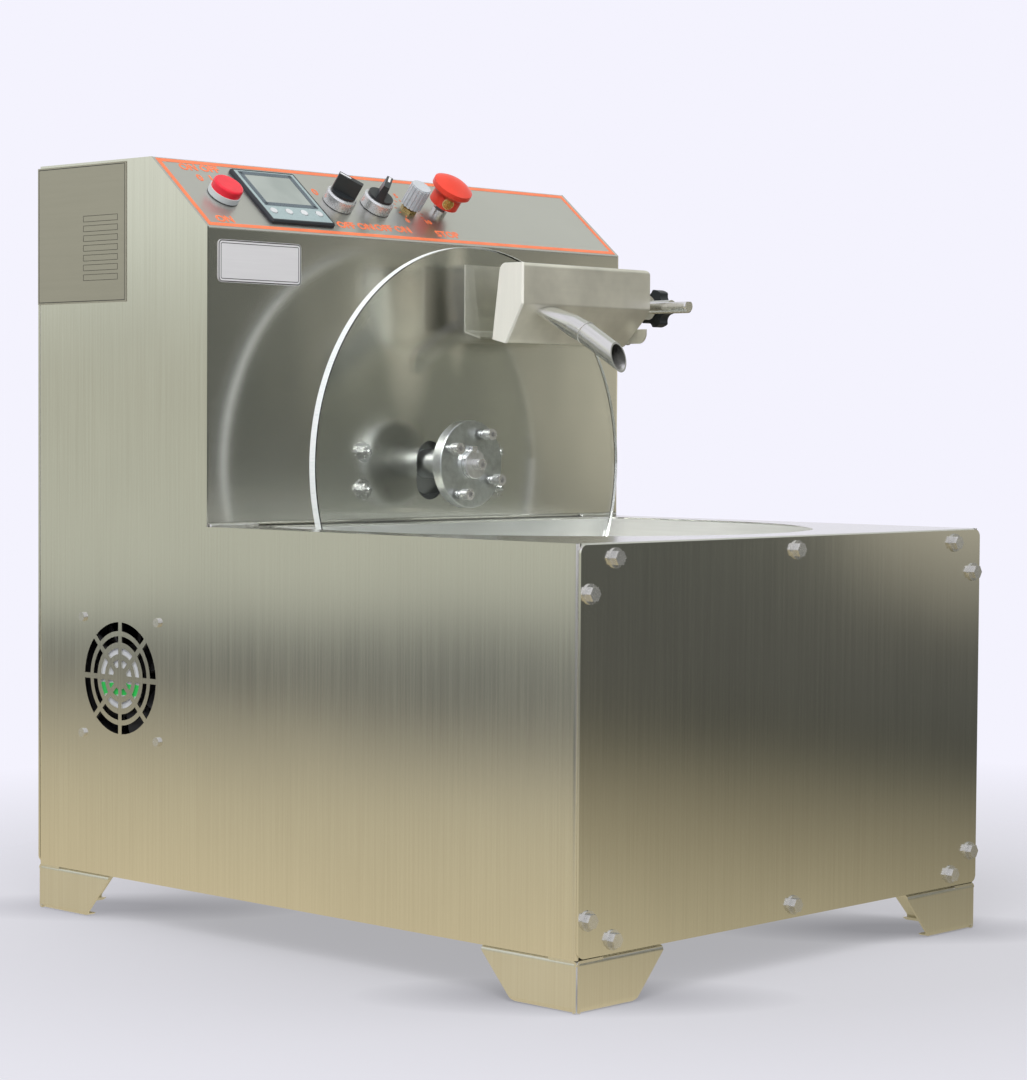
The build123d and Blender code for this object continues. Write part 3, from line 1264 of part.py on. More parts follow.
def heater_relay():
    """Solid state relay for the heater on the base plate."""
    low = base_floor_z
    block = span_box(
        -RELAY_WIDTH / 2, RELAY_WIDTH / 2, -RELAY_LENGTH / 2, RELAY_LENGTH / 2, low, low + RELAY_HEIGHT
    )
    block = chamfer(block.edges().group_by(Axis.Z)[-1], BEND_RADIUS)
    return Pos(RELAY_X, electrics_y, 0) * block


def cable_gland():
    """Gland in the rear cover for the mains lead."""
    body = hexagon(GLAND_FLATS, GLAND_BODY)
    body += rod_between(GLAND_FLATS / 2, GLAND_BODY, GLAND_BODY + GLAND_CAP)
    body += rod_between(GLAND_THREAD / 2, -COVER_SHEET - GLAND_NUT, 0)
    body += Pos(0, 0, -COVER_SHEET - GLAND_NUT) * hexagon(GLAND_FLATS, GLAND_NUT)
    bore = rod_between(GLAND_BORE / 2, -COVER_SHEET - 2 * GLAND_NUT, GLAND_BODY + 2 * GLAND_CAP)
    seat = Plane(origin=(gland_x, back_y, base_z + GLAND_RISE), x_dir=(1, 0, 0), z_dir=(0, 1, 0))
    return seat * (body - bore)


left_panel = side_panel()
front_left_foot = foot()
rear_left_foot = mirror(front_left_foot, about=Plane.XZ)
button_row = button_places()

parts = {
    "left_side_panel": left_panel - grille_cut(),
    "right_side_panel": mirrored(left_panel),
    "control_housing": control_housing(),
    "deck_plate": deck_plate(),
    "front_cover": cover(deck_z - base_z, cover_bolt_places(), front_y, cover_front_y),
    "rear_cover": rear_cover(),
    "base_plate": base_plate(),
    "foot_front_left": front_left_foot,
    "foot_front_right": mirrored(front_left_foot),
    "foot_rear_left": rear_left_foot,
    "foot_rear_right": mirrored(rear_left_foot),
    "front_cover_bolts": bolts_on(cover_bolt_places(), front_y, -1),
    "rear_cover_bolts": bolts_on(rear_bolt_places(), back_y, 1),
    "foot_bolts": foot_bolts(),
    "bracket_bolts": bracket_bolts(),
    "tub": tub(),
    "tub_heater_pad": heater_pad(),
    "tub_probe": tub_probe(),
    "tempering_wheel": tempering_wheel(),
    "hub_flange": hub_flange(),
    "hub_screws": hub_screws(),
    "shaft_key": shaft_key(),
    "drive_shaft": drive_shaft(),
    "motor_bracket": motor_bracket(),
    "gearbox": gearbox(),
    "drive_motor": drive_motor(),
    "scraper_front_tray": scraper_front_tray(),
    "scraper_rear_plate": scraper_rear_plate(),
    "scraper_end_plate": scraper_end_plate(),
    "scraper_web": scraper_web(),
    "scraper_spout": scraper_spout(),
    "scraper_collar": scraper_collar(),
    "clamp_knob": clamp_knob(),
    "guide_rod": guide_rod(),
    "guide_rod_nuts": guide_rod_nuts(),
    "pilot_bezel": pilot_bezel(),
    "pilot_lens": pilot_lens(),
    "controller_case": controller_case(),
    "controller_screen": controller_screen(),
    "speed_pot_bush": speed_pot_bush(),
    "speed_knob": speed_knob(),
    "estop_collar": estop_collar(),
    "estop_stem": estop_stem(),
    "estop_head": estop_head(),
    "fan_frame": fan_frame(),
    "fan_rotor": fan_rotor(),
    "fan_screws": fan_screws(),
    "motor_drive": motor_drive(),
    "heater_relay": heater_relay(),
    "cable_gland": cable_gland(),
}
for i, (u, v) in enumerate(button_row, start=1):
    parts[f"controller_button_{i}"] = controller_button(u, v)
for i, (x, angle) in enumerate(zip(selector_places, SELECTOR_ANGLE), start=1):
    parts[f"selector_{i}_bezel"] = selector_bezel(x)
    parts[f"selector_{i}_handle"] = selector_handle(x, angle)

os.makedirs("parts", exist_ok=True)
for name, shape in parts.items():
    export_step(shape, f"parts/{name}.step")
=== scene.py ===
"""Looks of a wheel tempering machine for chocolate: finishes, bare plates, panel marks and the stage.

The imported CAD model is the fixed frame. Everything is in metres in its frame: +X right, -Y front, +Z up.
"""

import math

import bmesh
import bpy
from mathutils import Matrix, Vector


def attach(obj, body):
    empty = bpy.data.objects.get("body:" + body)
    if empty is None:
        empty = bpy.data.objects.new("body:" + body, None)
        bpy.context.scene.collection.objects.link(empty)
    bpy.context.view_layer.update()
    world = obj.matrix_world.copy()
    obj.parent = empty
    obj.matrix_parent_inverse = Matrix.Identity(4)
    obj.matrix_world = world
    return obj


bl_info = {
    "name": "Tempering Machine Looks",
    "version": (1, 0, 0),
    "blender": (4, 5, 0),
    "location": "View3D > Sidebar > Tempering",
    "description": "Finishes, trim and stage for a wheel tempering machine",
    "category": "Object",
}

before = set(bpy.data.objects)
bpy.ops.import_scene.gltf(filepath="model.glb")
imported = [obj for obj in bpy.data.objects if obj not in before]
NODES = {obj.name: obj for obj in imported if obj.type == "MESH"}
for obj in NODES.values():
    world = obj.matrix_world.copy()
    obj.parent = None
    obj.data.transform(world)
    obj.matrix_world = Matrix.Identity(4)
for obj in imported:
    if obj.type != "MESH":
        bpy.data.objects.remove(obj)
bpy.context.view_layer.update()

# The sloped panel: across, up the slope and out of it, with its origin on the low edge
SLOPE = math.atan2(0.060, 0.071)
PANEL = Matrix.Translation((0, 0.091, 0.578)) @ Matrix.Rotation(SLOPE, 4, "X")
LEFT_FACE = Matrix(((0, 0, -1, -0.25), (-1, 0, 0, 0), (0, 1, 0, 0), (0, 0, 0, 1)))
RISER = Matrix(((1, 0, 0, 0), (0, 0, -1, 0.091), (0, 1, 0, 0), (0, 0, 0, 1)))
WHEEL_AXIS = Vector((0, 0.0365, 0.386))
FAN_AXIS = Vector((-0.2485, 0.202, 0.206))
PANEL_MIDDLE = 0.0465
CONTROL_LINE = 0.046
CONTROLLER_X = -0.139
CONTROLLER_FACE = 0.0035
SELECTOR_PLACES = (-0.075, -0.031)
SPEED_X = 0.010
STOP_X = 0.047
PANEL_WIDTH = 0.497
PANEL_LENGTH = 0.0930
EDGE_RADIUS = 0.18505
EDGE_WIDTH = 0.0066
CORNER_Y = 0.0905
CORNER_Z = 0.3366
CORNER_ENDS = (0.196, 0.2475)
SPOUT_BEND = (0.052, -0.0473, 0.4985)
SPOUT_TILT = math.radians(90 + 26.85)
FOOT_PLACES = ((-0.2, -0.27), (-0.2, 0.27), (0.2, -0.27), (0.2, 0.27))


def colour_property(name, description, default):
    return bpy.props.FloatVectorProperty(
        name=name, description=description, default=default, size=3, min=0, max=1, subtype="COLOR"
    )


def length_property(name, description, default):
    return bpy.props.FloatProperty(
        name=name, description=description, default=default, min=0, unit="LENGTH", subtype="DISTANCE"
    )


class TemperFinish(bpy.types.PropertyGroup):
    """Colours and gloss of the machine's surfaces."""

    steel: colour_property("Sheet steel", "Colour of the cabinet's sheets", (0.80, 0.795, 0.745))
    steel_shade: colour_property("Steel shade", "Colour of the sheets' darker streaks", (0.75, 0.74, 0.69))
    # Painted reflection: the end plate's near-white colour stands for the bright light its steel mirrors.
    bright: colour_property("Bright plate", "Colour of the scraper's end plate", (0.99, 0.98, 0.86))
    polished: colour_property("Polished steel", "Colour of rods, screws and the spout", (0.80, 0.80, 0.77))
    brass: colour_property("Brass", "Colour of the speed control's bush", (0.60, 0.46, 0.20))
    red: colour_property("Stop red", "Colour of the stop head", (0.83, 0.065, 0.035))
    lens: colour_property("Lamp lens", "Colour of the pilot lamp's lens", (0.86, 0.012, 0.035))
    orange: colour_property("Panel print", "Colour of the panel's frame and marks", (0.93, 0.22, 0.085))
    black: colour_property("Black plastic", "Colour of knobs and handles", (0.022, 0.026, 0.028))
    plate: colour_property("Data plate", "Colour of the plate on the left side", (0.40, 0.385, 0.30))
    badge: colour_property("Badge", "Colour of the plate on the riser", (0.80, 0.795, 0.79))
    side_gloss: bpy.props.FloatProperty(
        name="Side roughness", description="Roughness of the side sheets", default=0.15, min=0, max=1
    )
    riser_gloss: bpy.props.FloatProperty(
        name="Riser roughness", description="Roughness of the riser", default=0.21, min=0, max=1
    )


class TemperTrim(bpy.types.PropertyGroup):
    """Sizes of the trim that the looks add."""

    stripe: length_property("Stripe", "Width of the panel's printed frame", 0.0042)
    stripe_inset: length_property("Stripe inset", "Distance of the frame from the panel's edge", 0.0016)
    print_height: length_property("Print", "Thickness of printed marks", 0.00012)
    digit: length_property("Digits", "Height of the dial's digits", 0.0082)
    plate_width: length_property("Plate width", "Width of the data plate", 0.119)
    plate_height: length_property("Plate height", "Height of the data plate", 0.116)
    plate_sheet: length_property("Plate sheet", "Thickness of the plates", 0.0008)
    badge_width: length_property("Badge width", "Width of the riser's badge", 0.090)
    badge_height: length_property("Badge height", "Height of the riser's badge", 0.0345)


class TemperStage(bpy.types.PropertyGroup):
    """Camera, light and floor."""

    backdrop: colour_property("Backdrop", "Colour behind the machine", (0.905, 0.896, 0.991))
    # Painted shade: the floor's colour is greyer than the backdrop, so the floor reads darker near the
    # machine.
    floor: colour_property("Floor", "Colour of the floor near the machine", (0.24, 0.239, 0.25))
    floor_glow: bpy.props.FloatProperty(
        name="Floor glow",
        description="Light that the camera sees in the floor's shadows",
        default=1.75,
        min=0,
    )
    camera_place: bpy.props.FloatVectorProperty(
        name="Camera",
        description="Place of the camera",
        default=(-1.7246, -1.6450, 0.4198),
        size=3,
        unit="LENGTH",
    )
    camera_turn: bpy.props.FloatVectorProperty(
        name="Camera turn",
        description="Heading from +Y towards +X, pitch down and roll",
        default=(math.radians(46.587), math.radians(2.346), math.radians(0.384)),
        size=3,
        unit="ROTATION",
    )
    lens: bpy.props.FloatProperty(
        name="Lens", description="Focal length", default=93.594, min=1, unit="CAMERA"
    )


# Materials


def add_node(tree, kind, settings=None, **sockets):
    """Adds a node, sets its properties and the values of its input sockets."""
    node = tree.nodes.new(kind)
    for key, value in (settings or {}).items():
        setattr(node, key, value)
    for key, value in sockets.items():
        node.inputs[key.replace("_", " ")].default_value = value
    return node


def principled(name, colour, **sockets):
    """A material with one Principled shader; returns it with its tree and shader."""
    material = bpy.data.materials.new(name)
    material.use_nodes = True
    shader = material.node_tree.nodes["Principled BSDF"]
    shader.inputs["Base Color"].default_value = (*colour, 1)
    for key, value in sockets.items():
        shader.inputs[key.replace("_", " ")].default_value = value
    return material, material.node_tree, shader


def placed_coordinates(tree, centre=(0, 0, 0), scale=(1, 1, 1), turn=(0, 0, 0)):
    """Object coordinates about a centre, stretched by scale."""
    where = add_node(tree, "ShaderNodeTexCoord")
    shift = add_node(tree, "ShaderNodeMapping", Location=tuple(-c for c in centre))
    tree.links.new(where.outputs["Object"], shift.inputs["Vector"])
    stretch = add_node(tree, "ShaderNodeMapping", Scale=scale, Rotation=turn)
    tree.links.new(shift.outputs["Vector"], stretch.inputs["Vector"])
    return stretch.outputs["Vector"]


def panel_coordinates(tree, centre):
    """Coordinates across, up and out of the sloped panel, about a centre given in them."""
    return placed_coordinates(tree, PANEL @ Vector(centre), turn=(-SLOPE, 0, 0))


def noise(tree, coordinates, scale, detail=3.0, rough=0.55):
    node = add_node(tree, "ShaderNodeTexNoise", Scale=scale, Detail=detail, Roughness=rough)
    tree.links.new(coordinates, node.inputs["Vector"])
    return node.outputs["Fac"]


def ramp(tree, factor, stops):
    """Colour ramp with (position, colour) stops."""
    node = add_node(tree, "ShaderNodeValToRGB")
    elements = node.color_ramp.elements
    while len(elements) < len(stops):
        elements.new(0.5)
    for element, (position, colour) in zip(elements, stops):
        element.position = position
        element.color = (*colour, 1)
    tree.links.new(factor, node.inputs["Fac"])
    return node.outputs["Color"]


def spread(tree, factor, low, high, from_low=0.3, from_high=0.7):
    """Maps a factor onto a range of values."""
    node = add_node(
        tree, "ShaderNodeMapRange", From_Min=from_low, From_Max=from_high, To_Min=low, To_Max=high
    )
    tree.links.new(factor, node.inputs["Value"])
    return node.outputs["Result"]


def blend_colours(tree, factor, first, second, mode="MIX"):
    """Mixes two colours; the factor and the colours may be sockets."""
    node = add_node(tree, "ShaderNodeMix", {"data_type": "RGBA", "blend_type": mode})
    if isinstance(factor, float):
        node.inputs[0].default_value = factor
    else:
        tree.links.new(factor, node.inputs[0])
    for index, value in ((6, first), (7, second)):
        if isinstance(value, tuple):
            node.inputs[index].default_value = (*value, 1)
        else:
            tree.links.new(value, node.inputs[index])
    return node.outputs[2]


def bump(tree, shader, height, strength, distance):
    """Adds relief to a shader, over any that it has."""
    node = add_node(tree, "ShaderNodeBump", Strength=strength, Distance=distance)
    tree.links.new(height, node.inputs["Height"])
    for link in shader.inputs["Normal"].links:
        tree.links.new(link.from_socket, node.inputs["Normal"])
    tree.links.new(node.outputs["Normal"], shader.inputs["Normal"])


def distance_from(tree, coordinates):
    node = add_node(tree, "ShaderNodeVectorMath", {"operation": "LENGTH"})
    tree.links.new(coordinates, node.inputs[0])
    return node.outputs["Value"]


def axis_of(tree, coordinates, axis):
    node = add_node(tree, "ShaderNodeSeparateXYZ")
    tree.links.new(coordinates, node.inputs["Vector"])
    return node.outputs[axis]


def combine(tree, operation, first, second):
    """Joins two values by a maths operation."""
    node = add_node(tree, "ShaderNodeMath", {"operation": operation})
    tree.links.new(first, node.inputs[0])
    tree.links.new(second, node.inputs[1])
    return node.outputs[0]


def patch_reach(tree, **patch):
    """Distance from the middle of a patch with a Location, Rotation and Scale; 1 at its rim."""
    where = add_node(tree, "ShaderNodeTexCoord")
    about = add_node(tree, "ShaderNodeMapping", {"vector_type": "TEXTURE"}, **patch)
    tree.links.new(where.outputs["Object"], about.inputs["Vector"])
    return distance_from(tree, about.outputs["Vector"])


def faded(tree, fade, surface):
    """Mixes a surface with clear; it shows fully where the factor is 1."""
    clear = add_node(tree, "ShaderNodeBsdfTransparent")
    mixed = add_node(tree, "ShaderNodeMixShader")
    for index, socket in enumerate((fade, clear.outputs[0], surface)):
        tree.links.new(socket, mixed.inputs[index])
    return mixed.outputs[0]


def brushed_steel(
    name, light, shade, roughness, grain, fine=0.03, cloud=5.0, strength=0.006, metallic=1.0, mottle=0.93
):
    """Satin sheet: fine streaks along the grain, faint clouds from polishing, uneven gloss."""
    material, tree, shader = principled(name, light, Metallic=metallic)
    streak = noise(tree, placed_coordinates(tree, scale=grain), 1.0, 5.0, 0.62)
    clouds = noise(tree, placed_coordinates(tree), cloud, 3.0)
    base = ramp(tree, streak, ((0.30, shade), (0.62, light)))
    mottled = ramp(tree, clouds, ((0.30, (mottle, mottle, mottle)), (0.70, (1.0, 1.0, 1.0))))
    tree.links.new(blend_colours(tree, 1.0, base, mottled, "MULTIPLY"), shader.inputs["Base Color"])
    streaky = spread(tree, streak, roughness - fine, roughness + fine)
    cloudy = spread(tree, clouds, -fine / 2, fine / 2)
    tree.links.new(combine(tree, "ADD", streaky, cloudy), shader.inputs["Roughness"])
    bump(tree, shader, streak, strength, 0.0004)
    return material, tree, shader


def moulded(name, colour, roughness, grain=900.0, strength=0.05, **sockets):
    """Plastic or plain metal with a fine skin and slightly uneven tone."""
    material, tree, shader = principled(name, colour, **sockets)
    clouds = noise(tree, placed_coordinates(tree), 60.0, 3.0)
    dark = tuple(c * 0.88 for c in colour)
    tree.links.new(ramp(tree, clouds, ((0.35, dark), (0.65, colour))), shader.inputs["Base Color"])
    skin = noise(tree, placed_coordinates(tree), grain, 2.0)
    tree.links.new(spread(tree, skin, roughness - 0.05, roughness + 0.05), shader.inputs["Roughness"])
    bump(tree, shader, skin, strength, 0.0002)
    return material


def satin_metal(name, colour, roughness):
    """Drawn or machined metal with faint wear."""
    return moulded(name, colour, roughness, 500.0, 0.03, Metallic=1.0)


def turned_metal(name, colour, centre, axis_scale, roughness, metallic=1.0):
    """Lathe-turned metal with fine rings about an axis."""
    material, tree, shader = principled(name, colour, Metallic=metallic)
    radius = distance_from(tree, placed_coordinates(tree, centre, axis_scale))
    wave = add_node(tree, "ShaderNodeMath", {"operation": "SINE"})
    pitch = add_node(tree, "ShaderNodeMath", {"operation": "MULTIPLY"})
    pitch.inputs[1].default_value = 9000.0
    tree.links.new(radius, pitch.inputs[0])
    tree.links.new(pitch.outputs[0], wave.inputs[0])
    wear = noise(tree, placed_coordinates(tree), 180.0, 4.0)
    dark = tuple(c * 0.80 for c in colour)
    tree.links.new(ramp(tree, wear, ((0.32, dark), (0.62, colour))), shader.inputs["Base Color"])
    tree.links.new(spread(tree, wear, roughness - 0.06, roughness + 0.08), shader.inputs["Roughness"])
    bump(tree, shader, wave.outputs[0], 0.10, 0.0001)
    return material


def dress(material, *nodes):
    """Gives the CAD nodes a finish."""
    for name in nodes:
        mesh = NODES[name].data
        mesh.materials.clear()
        mesh.materials.append(material)


# Modelling


def free_hands():
    """Leaves edit mode with nothing selected."""
    if bpy.context.mode != "OBJECT":
        bpy.ops.object.mode_set(mode="OBJECT")
    bpy.ops.object.select_all(action="DESELECT")


def take(piece):
    """Selects one piece alone and makes it active."""
    free_hands()
    piece.select_set(True)
    bpy.context.view_layer.objects.active = piece


def bake_place(piece):
    """Puts a piece's place, turn and scale into its mesh."""
    take(piece)
    bpy.ops.object.transform_apply(location=True, rotation=True, scale=True)


def apply_modifier(piece, kind, **settings):
    """Adds a modifier, sets it and applies it."""
    take(piece)
    modifier = piece.modifiers.new(kind.lower(), kind)
    for key, value in settings.items():
        setattr(modifier, key, value)
    bpy.ops.object.modifier_apply(modifier=modifier.name)


def named(name, *materials):
    """Names the new piece and gives it its finishes."""
    piece = bpy.context.active_object
    piece.name = name
    piece.data.name = name
    for material in materials:
        piece.data.materials.append(material)
    return piece


def paint_selected(piece, index):
    piece.active_material_index = index
    bpy.ops.object.material_slot_assign()


def start_sheet(name, width, height, corner, *materials):
    """A flat sheet on the local XY plane with rounded corners, left in edit mode."""
    free_hands()
    bpy.ops.mesh.primitive_plane_add(size=1)
    piece = named(name, *materials)
    piece.scale = (width, height, 1)
    bpy.ops.object.transform_apply(location=False, rotation=False, scale=True)
    bpy.ops.object.mode_set(mode="EDIT")
    bpy.ops.mesh.select_all(action="SELECT")
    if corner:
        bpy.ops.mesh.bevel(offset=corner, segments=5, affect="VERTICES")
        bpy.ops.mesh.select_all(action="SELECT")
    return piece


def thicken(depth):
    """Draws the whole sheet out along its local Z and closes it."""
    bpy.ops.mesh.select_all(action="SELECT")
    bpy.ops.mesh.extrude_region_move(TRANSFORM_OT_translate={"value": (0, 0, depth)})
    bpy.ops.mesh.select_all(action="SELECT")
    bpy.ops.mesh.normals_make_consistent(inside=False)


def open_middle(width):
    """Insets the sheet and removes its middle, which leaves a frame."""
    bpy.ops.mesh.select_mode(type="FACE")
    bpy.ops.mesh.inset(thickness=width)
    bpy.ops.mesh.delete(type="FACE")


def settle(piece, place, body):
    """Puts a finished piece in its place on a body, with the place in its mesh."""
    take(piece)
    piece.matrix_world = place @ piece.matrix_world
    bpy.ops.object.transform_apply(location=True, rotation=True, scale=True)
    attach(piece, body)
    return piece


def joined(name, pieces):
    """Joins pieces into one."""
    free_hands()
    for piece in pieces:
        piece.select_set(True)
    bpy.context.view_layer.objects.active = pieces[0]
    if len(pieces) > 1:
        bpy.ops.object.join()
    piece = bpy.context.active_object
    piece.name = name
    piece.data.name = name
    return piece


def lettering(text, height, place, depth, material):
    """Printed words or digits as a thin mesh, centred on a place of the local XY plane."""
    free_hands()
    bpy.ops.object.text_add()
    words = bpy.context.active_object
    words.data.body = text
    words.data.size = height / 0.70
    words.data.align_x = "CENTER"
    words.data.align_y = "CENTER"
    words.data.resolution_u = 3
    words.data.extrude = depth / 2
    words.data.offset = height * 0.055
    bpy.ops.object.convert(target="MESH")
    words = named("print", material)
    words.location = (*place, depth / 2)
    bpy.ops.object.transform_apply(location=True, rotation=True, scale=True)
    return words


def around(x, radius, degrees):
    """A place on a circle about a control's middle, on the sloped panel."""
    angle = math.radians(degrees)
    return x + radius * math.cos(angle), CONTROL_LINE + radius * math.sin(angle)


class TEMPER_OT_cabinet(bpy.types.Operator):
    """Finish the cabinet's sheets, feet and bolts"""

    bl_idname = "temper.cabinet"
    bl_label = "Cabinet"

    def execute(self, context):
        look = context.scene.temper_finish
        light = tuple(look.steel)
        shade = tuple(look.steel_shade)
        upright = (520.0, 520.0, 6.0)
        across = (6.0, 520.0, 520.0)
        for name, nodes in (
            ("side_sheet", ("left_side_panel", "right_side_panel")),
            ("cover_sheet", ("front_cover", "rear_cover")),
        ):
            sheet, tree, shader = brushed_steel(name, light, shade, look.side_gloss, upright, fine=0.015)
            dents = noise(tree, placed_coordinates(tree), 5.0, 1.0)
            bump(tree, shader, dents, 1.0, 0.0006)
            dress(sheet, *nodes)
        deck = brushed_steel("deck_sheet", light, shade, 0.22, across)[0]
        dress(deck, "deck_plate", "base_plate")
        feet = brushed_steel("foot_sheet", light, shade, 0.34, upright)[0]
        dress(feet, "foot_front_left", "foot_front_right", "foot_rear_left", "foot_rear_right")
        housing, tree, shader = brushed_steel(
            "housing_sheet",
            tuple(c * 0.95 for c in light),
            tuple(c * 0.94 for c in light),
            look.riser_gloss,
            across,
            fine=0.008,
            strength=0.003,
        )
        waves = noise(tree, placed_coordinates(tree, scale=(1.0, 1.0, 0.6)), 11.0, 1.0)
        bump(tree, shader, waves, 1.0, 0.0005)
        up = axis_of(tree, panel_coordinates(tree, (0, PANEL_MIDDLE, 0)), "Y")
        beside = add_node(tree, "ShaderNodeMath", {"operation": "ABSOLUTE"})
        tree.links.new(up, beside.inputs[0])
        satin = spread(tree, beside.outputs[0], 0.14, 0.0, PANEL_MIDDLE - 0.0004, PANEL_MIDDLE)
        gloss = shader.inputs["Roughness"]
        tree.links.new(combine(tree, "ADD", gloss.links[0].from_socket, satin), gloss)
        shader.inputs["Anisotropic"].default_value = 0.5
        shader.inputs["Anisotropic Rotation"].default_value = 0.25
        dress(housing, "control_housing")
        bolts = moulded("bolt_zinc", (0.72, 0.72, 0.69), 0.24, 500.0, 0.03, Metallic=0.82)
        dress(bolts, "front_cover_bolts", "rear_cover_bolts", "foot_bolts", "bracket_bolts", "fan_screws")
        dress(bolts, "guide_rod_nuts", "hub_screws", "shaft_key")
        return {"FINISHED"}


class TEMPER_OT_tub(bpy.types.Operator):
    """Finish the tub and the pieces inside the cabinet"""

    bl_idname = "temper.tub"
    bl_label = "Tub and insides"

    def execute(self, context):
        look = context.scene.temper_finish
        # Painted reflection: the tub's steel is given a near-white, mostly non-metal colour that stands for
        # the bright reflections in its inner walls.
        tub = brushed_steel(
            "tub_sheet", (0.97, 0.975, 0.92), (0.92, 0.925, 0.87), 0.40, (12.0, 12.0, 400.0), metallic=0.2
        )[0]
        dress(tub, "tub")
        dress(moulded("heater_silicone", (0.45, 0.09, 0.03), 0.6), "tub_heater_pad")
        probe = turned_metal("probe_steel", tuple(look.polished), (0, -0.185, 0), (1, 1, 0), 0.25)
        dress(probe, "tub_probe")
        dress(moulded("bracket_paint", (0.10, 0.105, 0.11), 0.45), "motor_bracket")
        dress(moulded("gearbox_casting", (0.38, 0.39, 0.40), 0.42, 400.0, 0.2, Metallic=1.0), "gearbox")
        dress(moulded("motor_paint", (0.035, 0.038, 0.045), 0.35), "drive_motor")
        dress(moulded("heat_sink", (0.40, 0.40, 0.41), 0.36, Metallic=1.0), "motor_drive")
        dress(moulded("relay_plastic", (0.62, 0.58, 0.48), 0.4), "heater_relay")
        dress(moulded("gland_plastic", tuple(look.black), 0.5), "cable_gland")
        return {"FINISHED"}


class TEMPER_OT_wheel(bpy.types.Operator):
    """Finish the clear wheel, its hub and shaft, and model its sawn edge"""

    bl_idname = "temper.wheel"
    bl_label = "Wheel"

    def execute(self, context):
        clear, tree, shader = principled(
            "clear_acrylic", (0.95, 0.975, 0.965), Roughness=0.01, IOR=1.58, Transmission_Weight=1.0
        )
        scuffs = noise(tree, placed_coordinates(tree, scale=(30.0, 30.0, 4.0)), 6.0, 5.0, 0.7)
        tree.links.new(spread(tree, scuffs, 0.0, 0.025, 0.45, 0.8), shader.inputs["Roughness"])
        dress(clear, "tempering_wheel")
        hub = turned_metal("hub_turned", (0.80, 0.81, 0.79), WHEEL_AXIS, (1, 0, 1), 0.34, 0.93)
        dress(hub, "hub_flange", "drive_shaft")
        glowing_frost, tree, shader = principled("sawn_acrylic", (0.86, 0.89, 0.88), Roughness=0.5, IOR=1.49)
        # Painted glow: the sawn edge emits a faint pale light so that it reads white; the ramp below is its
        # own frosted colour.
        shader.inputs["Emission Color"].default_value = (0.90, 0.95, 0.92, 1)
        shader.inputs["Emission Strength"].default_value = 0.22
        saw = noise(tree, placed_coordinates(tree, WHEEL_AXIS, (900.0, 60.0, 900.0)), 1.0, 3.0)
        pale = ramp(tree, saw, ((0.3, (0.62, 0.66, 0.65)), (0.6, (0.80, 0.82, 0.80))))
        tree.links.new(pale, shader.inputs["Base Color"])
        bump(tree, shader, saw, 0.3, 0.0004)
        free_hands()
        bpy.ops.mesh.primitive_cylinder_add(
            vertices=180,
            radius=EDGE_RADIUS,
            depth=EDGE_WIDTH,
            end_fill_type="NOTHING",
            rotation=(math.pi / 2, 0, 0),
        )
        edge = named("wheel_sawn_edge", glowing_frost)
        apply_modifier(edge, "SOLIDIFY", thickness=0.00012, offset=1)
        bpy.ops.object.shade_smooth_by_angle(angle=math.radians(40))
        settle(edge, Matrix.Translation(WHEEL_AXIS), "wheel")
        return {"FINISHED"}


class TEMPER_OT_scraper(bpy.types.Operator):
    """Finish the scraper, its rod and clamp knob"""

    bl_idname = "temper.scraper"
    bl_label = "Scraper"

    def execute(self, context):
        look = context.scene.temper_finish
        tray = brushed_steel(
            "tray_sheet",
            (0.86, 0.84, 0.715),
            (0.83, 0.81, 0.69),
            0.36,
            (12.0, 300.0, 300.0),
            0.05,
            cloud=22.0,
            metallic=0.7,
            mottle=0.74,
        )[0]
        dress(tray, "scraper_front_tray", "scraper_rear_plate", "scraper_web", "scraper_collar")
        # Painted reflection: the end plate's steel is given a near-white, non-metal colour in place of the
        # light it mirrors.
        bright = tuple(look.bright)
        pale = tuple(c * 0.96 for c in bright)
        plate = brushed_steel("end_plate_satin", bright, pale, 0.42, (300.0, 300.0, 12.0), metallic=0.0)[0]
        dress(plate, "scraper_end_plate")
        spout = brushed_steel(
            "spout_satin", (0.74, 0.74, 0.70), (0.68, 0.68, 0.64), 0.24, (400.0, 14.0, 14.0), metallic=0.9
        )[0]
        dress(spout, "scraper_spout")
        dress(satin_metal("rod_ground", tuple(look.polished), 0.24), "guide_rod")
        dress(moulded("knob_black", tuple(look.black), 0.42), "clamp_knob")
        return {"FINISHED"}


